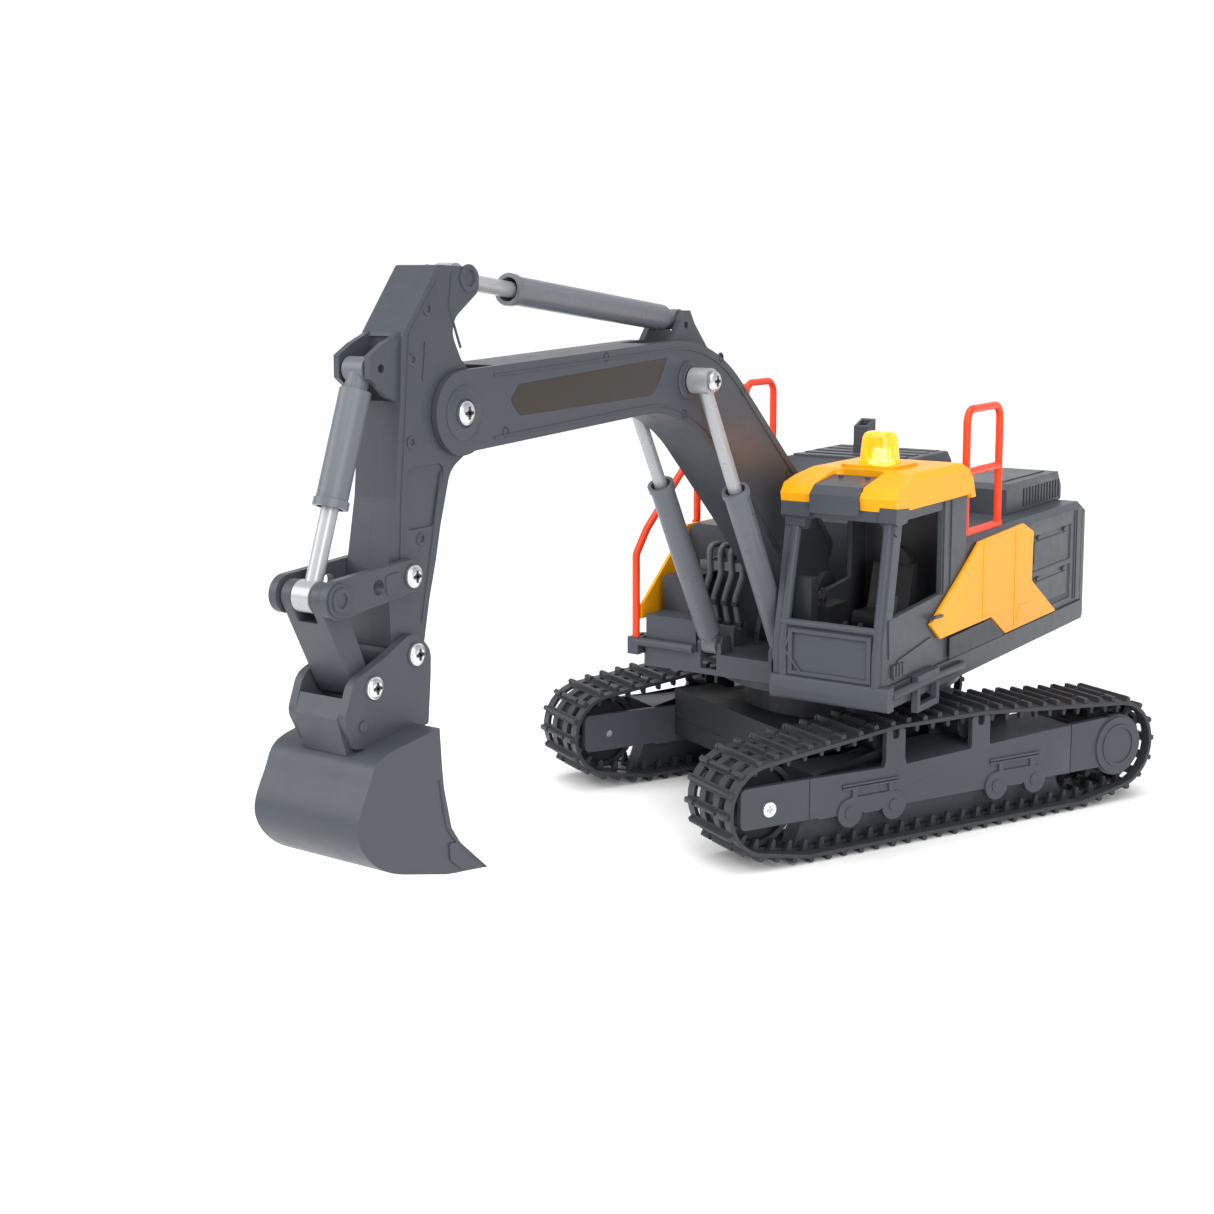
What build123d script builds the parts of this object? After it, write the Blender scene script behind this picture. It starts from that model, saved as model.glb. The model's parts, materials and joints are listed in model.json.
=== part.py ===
from build123d import *
import os
from math import atan2, cos, degrees, hypot, radians, sin

# A remote-controlled toy excavator in moulded plastic, in millimetres. +X points along the boom, +Y to the
# machine's left (the cab side) and +Z up. The origin lies on the ground under the middle of the whole toy.
# The upper works stand straight in this frame; the undercarriage is turned under them by REST_SLEW.

# ---------------------------------------------------------------------------------------------------------
# Driving dimensions
# ---------------------------------------------------------------------------------------------------------
SLEW_X = -104.5             # slewing axis, measured from the origin
REST_SLEW = -26.7           # heading of the tracks in degrees, seen from above

WALL = 2.5                  # common wall of the mouldings
GAP = 0.3                   # air between pieces that move past each other
RUNNING = 0.05              # radial play of a shaft in its hole

# Undercarriage
TRACK_Y = 75.0              # middle of each track
BELT_WIDTH = 37.0
BELT_BAND = 1.8             # thickness of the belt's band
GROUSER = 2.4               # how far the cross bars stand out of the band
GROUSER_COUNT = 60
BAR_THICK = 1.6
BAR_ROOT = 0.5              # how deep a cross bar is rooted in the band
BELT_MIDDLE_Z = 30.0
IDLER = (106.5, 29.5, 25.0)         # centre x, centre z and the belt's outer radius round it
SPROCKET = (-112.0, 30.5, 26.0)
ROLLERS = [(33.0, 51.0, 12.0), (-20.0, 51.0, 12.0)]
GROUND_ENDS = [(84.0, 10.0, 10.0), (-88.0, 10.0, 10.0)]
WHEEL_WIDTH = 16.0
WHEEL_BOSS = 6.0
DISH = 3.0                  # depth of the hollow in each face of a wheel
SHAFT = 2.5                 # sprocket shafts and the slewing pinion's shaft
AXLE = 2.0                  # idler screws
ROLLER_SHAFT = 1.5
SPROCKET_TEETH = 13
PLATE_OUT = 16.5            # outer face of a track frame's plate from the track's middle
PLATE = 3.0
SKIN = 1.2                  # left over the blind holes of the shafts
FRAME_LOW = 20.0
COVER_RADIUS = 15.0         # drive cover on the outside of each track frame
BRACKET_TOP = 57.6          # carrier roller brackets
BOGIES = ((60.4, 34.2), (-30.0, -55.2))     # wheels of the two false bogies on each track frame
BOGIE_Z = 20.7
BOGIE_RADIUS = 7.0
RELIEF = 1.0                # how far the false bogies stand out of the frame
HUB_RADIUS = 50.0           # wall round the slewing gear
HUB_TOP = 61.5
CHASSIS_SPLIT = 34.0

# Slewing drive
RING_TEETH = 56
PINION_TEETH = 12
GEAR_MODULE = 1.5
SLEW_CENTRES = GEAR_MODULE * (RING_TEETH - PINION_TEETH) / 2
SPIGOT_RADIUS = 14.0

# Upper works
TURNTABLE_RADIUS = 64.0
TURNTABLE_LOW = 64.5
DECK_LOW = 73.0
DECK_TOP = 84.0
HOUSE_HALF = 72.5
HOUSE_TOP = 142.0
HOUSE_REAR = -168.0
REAR_END = -181.0
CAB_REAR = 5.0
CAB_FRONT = 101.0
CAB_RIGHT = 16.0
CAB_LEFT = 73.0
CAB_TOP = 165.0
CAB_BEND = (100.5, 104.0)           # where the cab's front starts to lean back
CAB_BROW = 88.5                     # its front edge under the roof
BAY_REAR = -12.0

# Arm, in the upright plane BOOM_Y; points are (x, z) from the slewing axis and the ground
BOOM_Y = -12.0
BOOM_HALF = 13.0
STICK_HALF = 10.0
EAR = 3.5                   # thickness of the rocker's arms and the bucket's ears
BOOM_FOOT = (22.0, 110.0)
BOOM_EYE = (155.0, 227.0)           # boom cylinders' upper pins
DECK_EYE = (76.0, 88.0)             # boom cylinders' feet
STICK_PIVOT = (314.0, 223.0)
STICK_FOOT = (150.0, 254.0)         # stick cylinder's foot on the boom
STICK_EYE = (307.0, 273.0)
BUCKET_FOOT = (356.5, 241.0)        # bucket cylinder's foot on the stick
ROCKER_PIVOT = (346.0, 166.0)
ROCKER_END = (384.0, 163.0)
BUCKET_PIVOT = (345.0, 137.0)
BUCKET_EYE = (368.0, 129.0)
BUCKET_HALF = 25.0
CYLINDER_OFFSET = 20.5      # boom cylinders, each side of BOOM_Y
BARREL = 5.8
BORE = 4.8
ROD = 3.2
FOOT_EYE = 4.6
PIN = 3.0
WELL = 4.6                  # half width of the wells that the boom cylinders' feet stand in
CHEEK = 2.4                 # thickness of the wells' cheeks

UPPER = Plane(origin=(SLEW_X, 0, 0))
TRACKS_AHEAD = (cos(radians(REST_SLEW)), sin(radians(REST_SLEW)), 0)
LOWER = Plane(origin=(SLEW_X, 0, 0), x_dir=TRACKS_AHEAD, z_dir=(0, 0, 1))


# ---------------------------------------------------------------------------------------------------------
# Planes, outlines and saving
# ---------------------------------------------------------------------------------------------------------
def level(frame, z):
    """Horizontal plane at height z: x forward, y to the left."""
    return Plane(frame.from_local_coords((0, 0, z)), x_dir=frame.x_dir, z_dir=(0, 0, 1))


def side(frame, y):
    """Upright lengthwise plane at y: x forward, y up, extruding to the right."""
    return Plane(frame.from_local_coords((0, y, 0)), x_dir=frame.x_dir, z_dir=-frame.y_dir)


def across(frame, x):
    """Upright crosswise plane at x: x to the left, y up, extruding forward."""
    return Plane(frame.from_local_coords((x, 0, 0)), x_dir=frame.y_dir, z_dir=frame.x_dir)


def polygon(*points):
    """A filled outline through the points, added to the sketch in hand."""
    Polygon(*points, align=None)


def rounded(points, radii):
    """A filled outline through the points with one corner radius each."""
    with BuildLine() as outline:
        FilletPolyline(*points, radius=radii, close=True)
    make_face(outline.line)


def disc(centre, radius, mode=Mode.ADD):
    with Locations(centre):
        Circle(radius, mode=mode)


def box_face(low, high, mode=Mode.ADD):
    """A rectangle between two corners."""
    with Locations(((low[0] + high[0]) / 2, (low[1] + high[1]) / 2)):
        Rectangle(high[0] - low[0], high[1] - low[1], mode=mode)


def block(frame, low, high, mode=Mode.ADD):
    """A block between two corners of the frame, added to the part in hand."""
    with BuildSketch(level(frame, low[2])) as section:
        box_face(low, high)
    extrude(section.sketch, amount=high[2] - low[2], mode=mode)


def rod_across(frame, centre, radius, y_left, y_right, mode=Mode.ADD):
    """A round bar along the frame's y between y_left and y_right."""
    with BuildSketch(side(frame, y_left)) as section:
        disc(centre, radius)
    extrude(section.sketch, amount=y_left - y_right, mode=mode)


def save(piece, name):
    piece.part.label = name
    export_step(piece.part, f"parts/{name}.step")


os.makedirs("parts", exist_ok=True)


# ---------------------------------------------------------------------------------------------------------
# Undercarriage
# ---------------------------------------------------------------------------------------------------------
SIDES = (("left", 1), ("right", -1))


def belt_loop(inset):
    """The belt's side outline, drawn inwards from the tips of its cross bars."""
    for x, z, radius in [IDLER, SPROCKET, *ROLLERS, *GROUND_ENDS]:
        disc((x, z), radius - inset)
    make_hull()


def track_belt(sign):
    with BuildPart() as belt:
        with BuildSketch(side(LOWER, sign * TRACK_Y + BELT_WIDTH / 2)):
            belt_loop(GROUSER)
            belt_inner = BELT_BAND + GROUSER
            with BuildSketch(mode=Mode.PRIVATE) as hollow:
                belt_loop(belt_inner)
            with BuildSketch(mode=Mode.PRIVATE) as tips:
                belt_loop(0)
            add(hollow.sketch, mode=Mode.SUBTRACT)
            path = tips.face().outer_wire()
            for step in range(GROUSER_COUNT):
                tip = path @ (step / GROUSER_COUNT)
                run = path % (step / GROUSER_COUNT)
                inward = Vector(-run.Y, run.X)
                if inward.X * tip.X + inward.Y * (tip.Y - BELT_MIDDLE_Z) > 0:
                    inward = -inward
                middle = tip + inward * (GROUSER + BAR_ROOT) / 2
                lean = degrees(atan2(inward.Y, inward.X)) - 90
                with Locations((middle.X, middle.Y)):
                    Rectangle(BAR_THICK, GROUSER + BAR_ROOT, rotation=lean)
        extrude(amount=BELT_WIDTH)
    return belt


def sprocket(sign):
    middle = sign * TRACK_Y
    x, z, outer = SPROCKET
    tip = outer - GROUSER - BELT_BAND - GAP
    with BuildPart() as wheel:
        with BuildSketch(side(LOWER, middle + WHEEL_WIDTH / 2)):
            disc((x, z), tip - 3.5)
            with Locations((x, z)):
                with PolarLocations(tip - 3.6, SPROCKET_TEETH):
                    polygon((-0.4, -2.4), (3.6, -1.1), (3.6, 1.1), (-0.4, 2.4))
        extrude(amount=WHEEL_WIDTH)
        with BuildSketch(side(LOWER, middle + WHEEL_WIDTH / 2),
                         side(LOWER, middle - WHEEL_WIDTH / 2 + DISH)):
            disc((x, z), tip - 6)
            disc((x, z), WHEEL_BOSS, mode=Mode.SUBTRACT)
        extrude(amount=DISH, mode=Mode.SUBTRACT)
        rod_across(LOWER, (x, z), SHAFT, middle + sign * (WHEEL_WIDTH / 2), middle + sign * 15)
        rod_across(LOWER, (x, z), SHAFT, middle - sign * (WHEEL_WIDTH / 2), middle - sign * 12)
    return wheel


def idler(sign):
    middle = sign * TRACK_Y
    x, z, outer = IDLER
    tread = outer - GROUSER - BELT_BAND - GAP
    with BuildPart() as wheel:
        rod_across(LOWER, (x, z), tread, middle + WHEEL_WIDTH / 2, middle - WHEEL_WIDTH / 2)
        for face in (middle + WHEEL_WIDTH / 2, middle - WHEEL_WIDTH / 2 + DISH):
            with BuildSketch(side(LOWER, face)):
                disc((x, z), tread - 3)
                disc((x, z), WHEEL_BOSS, mode=Mode.SUBTRACT)
            extrude(amount=DISH, mode=Mode.SUBTRACT)
        rod_across(LOWER, (x, z), AXLE + RUNNING, middle + WHEEL_WIDTH, middle - WHEEL_WIDTH, Mode.SUBTRACT)
    return wheel


def carrier_roller(sign, place):
    middle = sign * TRACK_Y
    x, z, outer = place
    with BuildPart() as roller:
        tread = outer - GROUSER - BELT_BAND - GAP
        rod_across(LOWER, (x, z), tread, middle + WHEEL_WIDTH / 2, middle - WHEEL_WIDTH / 2)
        rod_across(LOWER, (x, z), tread - 2, middle + 3, middle - 3)
        rod_across(LOWER, (x, z), ROLLER_SHAFT, middle + 15, middle - 15)
    return roller


def frame_outline():
    """Side outline of a track frame: a long beam with the drive housing at its rear end."""
    rounded([(121.7, FRAME_LOW + 1), (121.7, 40.6), (84, 40.3), (29, 39.5), (-66, 44.5), (-104, 46),
             (-124, 38), (-124, 23), (-104, FRAME_LOW)], [3, 3, 0, 0, 0, 8, 6, 6, 8])
    disc(SPROCKET[:2], COVER_RADIUS + 1)


def track_frame(sign, outer):
    """One half of a track frame: a plate with wheel bearings, half of the beam and its roller brackets."""
    middle = sign * TRACK_Y
    out = sign if outer else -sign
    face = middle + out * PLATE_OUT
    depth = out * PLATE_OUT
    low = FRAME_LOW
    with BuildPart() as half:
        with BuildSketch(side(LOWER, face)):
            frame_outline()
        extrude(amount=out * PLATE)
        with BuildSketch(side(LOWER, face)):
            polygon((78, low), (78, 40.2), (29, 39.5), (-66, 44.5), (-80, 45), (-80, low))
        extrude(amount=depth)
        with BuildSketch(side(LOWER, face - out * PLATE)):
            polygon((75, low + WALL), (75, 37.5), (29, 37), (-66, 41.5), (-80, 41.5), (-80, low + WALL))
        extrude(amount=depth - out * PLATE, mode=Mode.SUBTRACT)
        keel_low = GROUSER + BELT_BAND + GAP
        with BuildSketch(side(LOWER, middle + out * 5)):
            polygon((78, low), (84, keel_low), (-86, keel_low), (-78, low))
        extrude(amount=out * 5)
        for x, z, _ in ROLLERS:
            notch_z = z + ROLLER_SHAFT + 2.3
            with BuildSketch(side(LOWER, face)):
                rounded([(x - 7, 39), (x + 7, 39), (x + 5.7, 43), (x + 5.7, BRACKET_TOP),
                         (x - 5.7, BRACKET_TOP), (x - 5.7, 43)], [0, 0, 2, 1.5, 1.5, 2])
                disc((x, notch_z), 2, mode=Mode.SUBTRACT)
                box_face((x - 2, notch_z), (x + 2, BRACKET_TOP + 1), mode=Mode.SUBTRACT)
            extrude(amount=out * PLATE)
            rod_across(LOWER, (x, z), ROLLER_SHAFT + RUNNING, face - out * SKIN, face - out * 6,
                       Mode.SUBTRACT)
        rod_across(LOWER, SPROCKET[:2], SHAFT + RUNNING, face - out * SKIN, face - out * 6, Mode.SUBTRACT)
        rod_across(LOWER, IDLER[:2], AXLE, face + out * 2, face - out * 6, Mode.SUBTRACT)
        if outer:
            track_frame_relief(face, out)
    return half


def track_frame_relief(face, out):
    """Raised drive cover, seams and the two false bogies on the outside of a track frame."""
    with BuildSketch(side(LOWER, face)) as section:
        disc(SPROCKET[:2], COVER_RADIUS)
    extrude(section.sketch, amount=-out * 1.2)
    with BuildSketch(side(LOWER, face + out * 1.2)) as section:
        disc(SPROCKET[:2], COVER_RADIUS - 4)
        disc(SPROCKET[:2], COVER_RADIUS - 5.5, mode=Mode.SUBTRACT)
    extrude(section.sketch, amount=-out * 0.6)
    for front, rear in BOGIES:
        middle = (front + rear) / 2
        with BuildSketch(side(LOWER, face + out * RELIEF)) as section:
            disc((front, BOGIE_Z), BOGIE_RADIUS)
            disc((rear, BOGIE_Z), BOGIE_RADIUS)
        extrude(section.sketch, amount=out * (RELIEF + PLATE))
        with BuildSketch(side(LOWER, face + out * RELIEF)) as section:
            # Equalising beam, its two posts and the double bar above them.
            polygon((front, 28), (rear, 28), (rear, 24), (middle - 4, 19.4), (middle + 4, 19.4),
                    (front, 24))
            for post in (front - 2.8, rear + 1.8):
                box_face((post - 1.5, 27), (post + 1.5, 32.5))
            box_face((rear - 3.2, 32), (front + 4.2, 33))
            box_face((rear - 3.2, 33.6), (front + 4.2, 34.6))
        extrude(section.sketch, amount=out * RELIEF)
        with BuildSketch(side(LOWER, face + out * (RELIEF + 0.5))) as section:
            disc((front, BOGIE_Z), 3)
            disc((rear, BOGIE_Z), 3)
        extrude(section.sketch, amount=out * 0.5)
    for seam_x, seam_top in ((83.4, 41), (-80.0, 46)):
        with BuildSketch(side(LOWER, face)) as section:
            box_face((seam_x - 0.35, FRAME_LOW), (seam_x + 0.35, seam_top))
        extrude(section.sketch, amount=out * 0.5, mode=Mode.SUBTRACT)


def idler_axle(sign):
    """Screw that carries the idler, with its head on the frame's outer face."""
    face = sign * (TRACK_Y + PLATE_OUT)
    rod_across(LOWER, IDLER[:2], AXLE, face, sign * (TRACK_Y - PLATE_OUT) + sign * 0.8)
    rod_across(LOWER, IDLER[:2], 3.6, face + sign * 1.4, face)
    with BuildSketch(side(LOWER, face + sign * 1.4)) as section:
        with Locations(IDLER[:2]):
            Rectangle(3.6, 0.9)
            Rectangle(0.9, 3.6)
    extrude(section.sketch, amount=sign * 0.8, mode=Mode.SUBTRACT)


def drive_gearmotor(sign):
    """Motor and reduction gearbox lying in a track frame, reaching back to the sprocket's shaft."""
    middle = sign * TRACK_Y
    with BuildSketch(across(LOWER, -72)) as section:
        disc((middle, 31), 7.5)
    extrude(section.sketch, amount=32)
    block(LOWER, (-79, middle - 9, 23.5), (-72, middle + 9, 39.5))
    inner = sorted((middle - sign * 13.2, middle - sign * 8.8))
    with BuildSketch(side(LOWER, inner[1])) as section:
        box_face((SPROCKET[0] - 7, 24), (-79, 38))
    extrude(section.sketch, amount=inner[1] - inner[0])
    rod_across(LOWER, SPROCKET[:2], SHAFT + RUNNING, inner[1] + 1, inner[0] - 1, Mode.SUBTRACT)


for side_name, side_sign in SIDES:
    save(track_belt(side_sign), f"{side_name}_track_belt")
    save(sprocket(side_sign), f"{side_name}_sprocket")
    save(idler(side_sign), f"{side_name}_idler")
    save(carrier_roller(side_sign, ROLLERS[0]), f"{side_name}_front_roller")
    save(carrier_roller(side_sign, ROLLERS[1]), f"{side_name}_rear_roller")
    save(track_frame(side_sign, True), f"{side_name}_frame_outer")
    save(track_frame(side_sign, False), f"{side_name}_frame_inner")

with BuildPart() as idler_axles:
    idler_axle(1)
    idler_axle(-1)
save(idler_axles, "idler_axles")

with BuildPart() as drive_gearmotors:
    drive_gearmotor(1)
    drive_gearmotor(-1)
save(drive_gearmotors, "drive_gearmotors")

INNER_FACE = TRACK_Y - PLATE_OUT            # inner faces of the track frames
CHASSIS_HALF = 46.0
BEAM = (40.0, 66.0)                         # the front cross beam, mirrored at the rear


def cross_beams(low, high):
    """Front and rear cross beams that carry the track frames."""
    for x0, x1 in (BEAM, (-BEAM[1], -BEAM[0])):
        block(LOWER, (x0, -INNER_FACE, low), (x1, INNER_FACE, high))


with BuildPart() as chassis_upper_shell:
    block(LOWER, (-48, -CHASSIS_HALF, CHASSIS_SPLIT), (48, CHASSIS_HALF, 50))
    cross_beams(CHASSIS_SPLIT, 50)
    with BuildSketch(level(LOWER, 46)):
        Circle(HUB_RADIUS)
    extrude(amount=HUB_TOP - 46)
    block(LOWER, (-45.5, -CHASSIS_HALF + WALL, CHASSIS_SPLIT), (45.5, CHASSIS_HALF - WALL, 46),
          Mode.SUBTRACT)
    for beam_x in (BEAM[0], -BEAM[1]):
        block(LOWER, (beam_x + 6, -INNER_FACE + WALL, CHASSIS_SPLIT),
              (beam_x + 20, INNER_FACE - WALL, 47), Mode.SUBTRACT)
    with BuildSketch(level(LOWER, 50)):
        Circle(HUB_RADIUS - 3)
    extrude(amount=20, mode=Mode.SUBTRACT)
    with BuildSketch(level(LOWER, 40)):
        Circle(SPIGOT_RADIUS + GAP)
    extrude(amount=20, mode=Mode.SUBTRACT)
save(chassis_upper_shell, "chassis_upper_shell")

DOOR_HALF = (33.0, 29.0)
SWITCH_X = 41.0

with BuildPart() as chassis_lower_shell:
    block(LOWER, (-48, -CHASSIS_HALF, 18), (48, CHASSIS_HALF, CHASSIS_SPLIT))
    cross_beams(24, CHASSIS_SPLIT)
    block(LOWER, (-45.5, -CHASSIS_HALF + WALL, 20), (45.5, CHASSIS_HALF - WALL, CHASSIS_SPLIT),
          Mode.SUBTRACT)
    for beam_x in (BEAM[0], -BEAM[1]):
        block(LOWER, (beam_x + 6, -INNER_FACE + WALL, 26.5),
              (beam_x + 20, INNER_FACE - WALL, CHASSIS_SPLIT), Mode.SUBTRACT)
    block(LOWER, (-DOOR_HALF[0], -DOOR_HALF[1], 17), (DOOR_HALF[0], DOOR_HALF[1], 21), Mode.SUBTRACT)
    block(LOWER, (SWITCH_X - 2.5, -6, 17), (SWITCH_X + 2.5, 6, 21), Mode.SUBTRACT)
save(chassis_lower_shell, "chassis_lower_shell")

with BuildPart() as battery_door:
    block(LOWER, (0.2 - DOOR_HALF[0], 0.2 - DOOR_HALF[1], 18), (DOOR_HALF[0] - 0.2, DOOR_HALF[1] - 0.2, 20))
    with BuildSketch(level(LOWER, 18)):
        with Locations((0, -24)):
            Circle(2.6)
    extrude(amount=1, mode=Mode.SUBTRACT)
    with BuildSketch(level(LOWER, 18)):
        with GridLocations(6, 0, 5, 1):
            Rectangle(2, 30)
    extrude(amount=0.6, mode=Mode.SUBTRACT)
save(battery_door, "battery_door")

with BuildPart() as battery_cells:
    for cell_x in (-22.5, -7.5, 7.5, 22.5):
        rod_across(LOWER, (cell_x, 28.2), 7.1, 25.2, -24.2)
        rod_across(LOWER, (cell_x, 28.2), 2.7, 26.2, 25.2)
save(battery_cells, "battery_cells")

with BuildPart() as power_switch:
    block(LOWER, (SWITCH_X - 2.2, -4.5, 16.2), (SWITCH_X + 2.2, 0.5, 20.3))
    block(LOWER, (SWITCH_X - 3.4, -8, 20.3), (SWITCH_X + 3.4, 4, 22))
save(power_switch, "power_switch")

PITCH_RING = GEAR_MODULE * RING_TEETH / 2
PITCH_PINION = GEAR_MODULE * PINION_TEETH / 2

with BuildPart() as slew_ring_gear:
    with BuildSketch(level(LOWER, 50)):
        Circle(HUB_RADIUS - 3)
        Circle(PITCH_RING + 1.8, mode=Mode.SUBTRACT)
        gap_angle = 180 - REST_SLEW + 180 / RING_TEETH
        with PolarLocations(PITCH_RING + 2, RING_TEETH, start_angle=gap_angle):
            polygon((0.2, -1.6), (-3.0, -0.6), (-3.0, 0.6), (0.2, 1.6))
    extrude(amount=7.5)
save(slew_ring_gear, "slew_ring_gear")


# ---------------------------------------------------------------------------------------------------------
# Upper works: deck, housings and drives
# ---------------------------------------------------------------------------------------------------------
with BuildPart() as slew_pinion:
    with BuildSketch(level(UPPER, 51)):
        with Locations((-SLEW_CENTRES, 0)):
            Circle(PITCH_PINION - 1.5)
            with PolarLocations(PITCH_PINION - 1.7, PINION_TEETH, start_angle=180):
                polygon((-0.2, -1.5), (2.6, -0.55), (2.6, 0.55), (-0.2, 1.5))
    extrude(amount=6)
    with BuildSketch(level(UPPER, 57)):
        with Locations((-SLEW_CENTRES, 0)):
            Circle(SHAFT)
    extrude(amount=24)
save(slew_pinion, "slew_pinion")

ARM_CHEEK = BOOM_HALF + 0.4                 # inner faces of the boom's foot brackets from BOOM_Y


def deck_outline():
    rounded([(HOUSE_REAR, -HOUSE_HALF), (80, -HOUSE_HALF), (80, 15), (CAB_FRONT, 15),
             (CAB_FRONT, 74), (HOUSE_REAR, 74)], [0, 3, 0, 2, 6, 0])


with BuildPart() as deck_frame:
    with BuildSketch(level(UPPER, DECK_LOW)):
        deck_outline()
    extrude(amount=DECK_TOP - DECK_LOW)
    # The front is a lid that is open from below; the rear is a tray that the house stands in.
    block(UPPER, (-19.5, -HOUSE_HALF + WALL, DECK_LOW - 1), (77.5, 71.5, DECK_TOP - WALL), Mode.SUBTRACT)
    with BuildSketch(level(UPPER, TURNTABLE_LOW)):
        Circle(TURNTABLE_RADIUS)
        Circle(TURNTABLE_RADIUS - WALL, mode=Mode.SUBTRACT)
    extrude(amount=DECK_TOP - WALL - TURNTABLE_LOW)
    block(UPPER, (HOUSE_REAR + WALL, -HOUSE_HALF + WALL, DECK_LOW + WALL), (-22, 71.5, DECK_TOP + 1),
          Mode.SUBTRACT)
    with BuildSketch(level(UPPER, 43)):
        Circle(SPIGOT_RADIUS)
        Circle(SPIGOT_RADIUS - 3, mode=Mode.SUBTRACT)
    extrude(amount=DECK_TOP - 1 - 43)
    with BuildSketch(level(UPPER, DECK_LOW - 4)):
        with Locations((-SLEW_CENTRES, 0)):
            Circle(7)
    extrude(amount=6)
    with BuildSketch(level(UPPER, DECK_LOW - 6)):
        with Locations((-SLEW_CENTRES, 0)):
            Circle(SHAFT + RUNNING)
    extrude(amount=12, mode=Mode.SUBTRACT)
    # Brackets that hold the boom's trunnions.
    for cheek in (BOOM_Y + ARM_CHEEK + 3, BOOM_Y - ARM_CHEEK):
        with BuildSketch(side(UPPER, cheek)):
            polygon((2, DECK_TOP - 1), (42, DECK_TOP - 1), (33, BOOM_FOOT[1]), (11, BOOM_FOOT[1]))
            disc(BOOM_FOOT, 11)
            disc(BOOM_FOOT, 5 + RUNNING, mode=Mode.SUBTRACT)
        extrude(amount=3)
    # Wells and cheeks for the feet of the boom's cylinders.
    for foot_y in (BOOM_Y + CYLINDER_OFFSET, BOOM_Y - CYLINDER_OFFSET):
        block(UPPER, (62, foot_y - WELL, DECK_LOW + 3), (81, foot_y + WELL, DECK_TOP + 1), Mode.SUBTRACT)
        for cheek in (foot_y + WELL + CHEEK, foot_y - WELL):
            with BuildSketch(side(UPPER, cheek)):
                polygon((66, DECK_TOP - 4), (79.5, DECK_TOP - 4), (79.5, 89), (77, 92.5), (70, 92.5))
            extrude(amount=CHEEK)
save(deck_frame, "deck_frame")

SHELL_OUTLINE = [(HOUSE_REAR, -HOUSE_HALF), (34, -HOUSE_HALF), (34, -29), (BAY_REAR, -29), (BAY_REAR, 6),
                 (CAB_REAR - 1, 6), (CAB_REAR - 1, HOUSE_HALF), (HOUSE_REAR, HOUSE_HALF)]

with BuildPart() as house_shell:
    with BuildSketch(level(UPPER, DECK_TOP)):
        polygon(*SHELL_OUTLINE)
    extrude(amount=HOUSE_TOP - DECK_TOP)
    house_top = house_shell.faces().sort_by(Axis.Z)[-1]
    chamfer(house_top.edges().filter_by(Axis.X).group_by(Axis.Y)[-1], 3)
    chamfer(house_shell.faces().sort_by(Axis.Z)[-1].edges().filter_by(Axis.X).group_by(Axis.Y)[0], 3)
    with BuildSketch(level(UPPER, DECK_TOP)):
        box_face((HOUSE_REAR + WALL, -HOUSE_HALF + WALL), (34 - WALL, -29 - WALL))
        box_face((HOUSE_REAR + WALL, -29 - WALL), (BAY_REAR - WALL, HOUSE_HALF - WALL))
        box_face((BAY_REAR - WALL, 6 + WALL), (CAB_REAR - 1 - WALL, HOUSE_HALF - WALL))
    extrude(amount=HOUSE_TOP - DECK_TOP - WALL - 1.5, mode=Mode.SUBTRACT)
    # Two sunken service panels on each flank.
    for flank, out in ((HOUSE_HALF, 1), (-HOUSE_HALF, -1)):
        for low_z, high_z in ((88, 108), (111, 131)):
            with BuildSketch(side(UPPER, flank)):
                box_face((-150, low_z), (-88, high_z))
            extrude(amount=out * 0.8, mode=Mode.SUBTRACT)
save(house_shell, "house_shell")

with BuildPart() as counterweight:
    with BuildSketch(level(UPPER, DECK_LOW)):
        rounded([(REAR_END, -HOUSE_HALF), (HOUSE_REAR - 0.2, -HOUSE_HALF), (HOUSE_REAR - 0.2, HOUSE_HALF),
                 (REAR_END, HOUSE_HALF)], [9, 0, 0, 9])
    extrude(amount=139 - DECK_LOW)
    chamfer(counterweight.faces().sort_by(Axis.Z)[-1].edges().sort_by(Axis.X)[0:3], 3)
    block(UPPER, (REAR_END + 4, -HOUSE_HALF + 6, DECK_LOW + 4), (HOUSE_REAR + 1, HOUSE_HALF - 6, 133),
          Mode.SUBTRACT)
    with BuildSketch(across(UPPER, REAR_END)):
        box_face((-40, 92), (40, 118))
    extrude(amount=1.2, mode=Mode.SUBTRACT)
save(counterweight, "counterweight")

HOOD_TOP = 159.0

with BuildPart() as side_hood:
    with BuildSketch(side(UPPER, 58)):
        polygon((-172, HOUSE_TOP), (-86, HOUSE_TOP), (-86, 156), (-89, HOOD_TOP), (-166, HOOD_TOP),
                (-172, 150))
    extrude(amount=46)
    with BuildSketch(side(UPPER, 58 - WALL)):
        box_face((-169, HOUSE_TOP), (-89, HOOD_TOP - 4))
    extrude(amount=46 - 2 * WALL, mode=Mode.SUBTRACT)
    with BuildSketch(side(UPPER, 58)):
        for slot in range(13):
            with Locations((-112 - 4.6 * slot, 149)):
                Rectangle(2.4, 10.5)
    extrude(amount=1.4, mode=Mode.SUBTRACT)
save(side_hood, "side_hood")

ENGINE_TOP = 172.0

with BuildPart() as engine_hood:
    with BuildSketch(side(UPPER, 8)):
        polygon((-128, HOUSE_TOP), (-42, HOUSE_TOP), (-42, 161), (-54, 171), (-90, ENGINE_TOP),
                (-122, ENGINE_TOP), (-128, 166))
    extrude(amount=70)
    with BuildSketch(side(UPPER, 8 - WALL)):
        polygon((-125, HOUSE_TOP), (-45, HOUSE_TOP), (-45, 159), (-55, 168), (-122, 168))
    extrude(amount=70 - 2 * WALL, mode=Mode.SUBTRACT)
save(engine_hood, "engine_hood")

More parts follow.
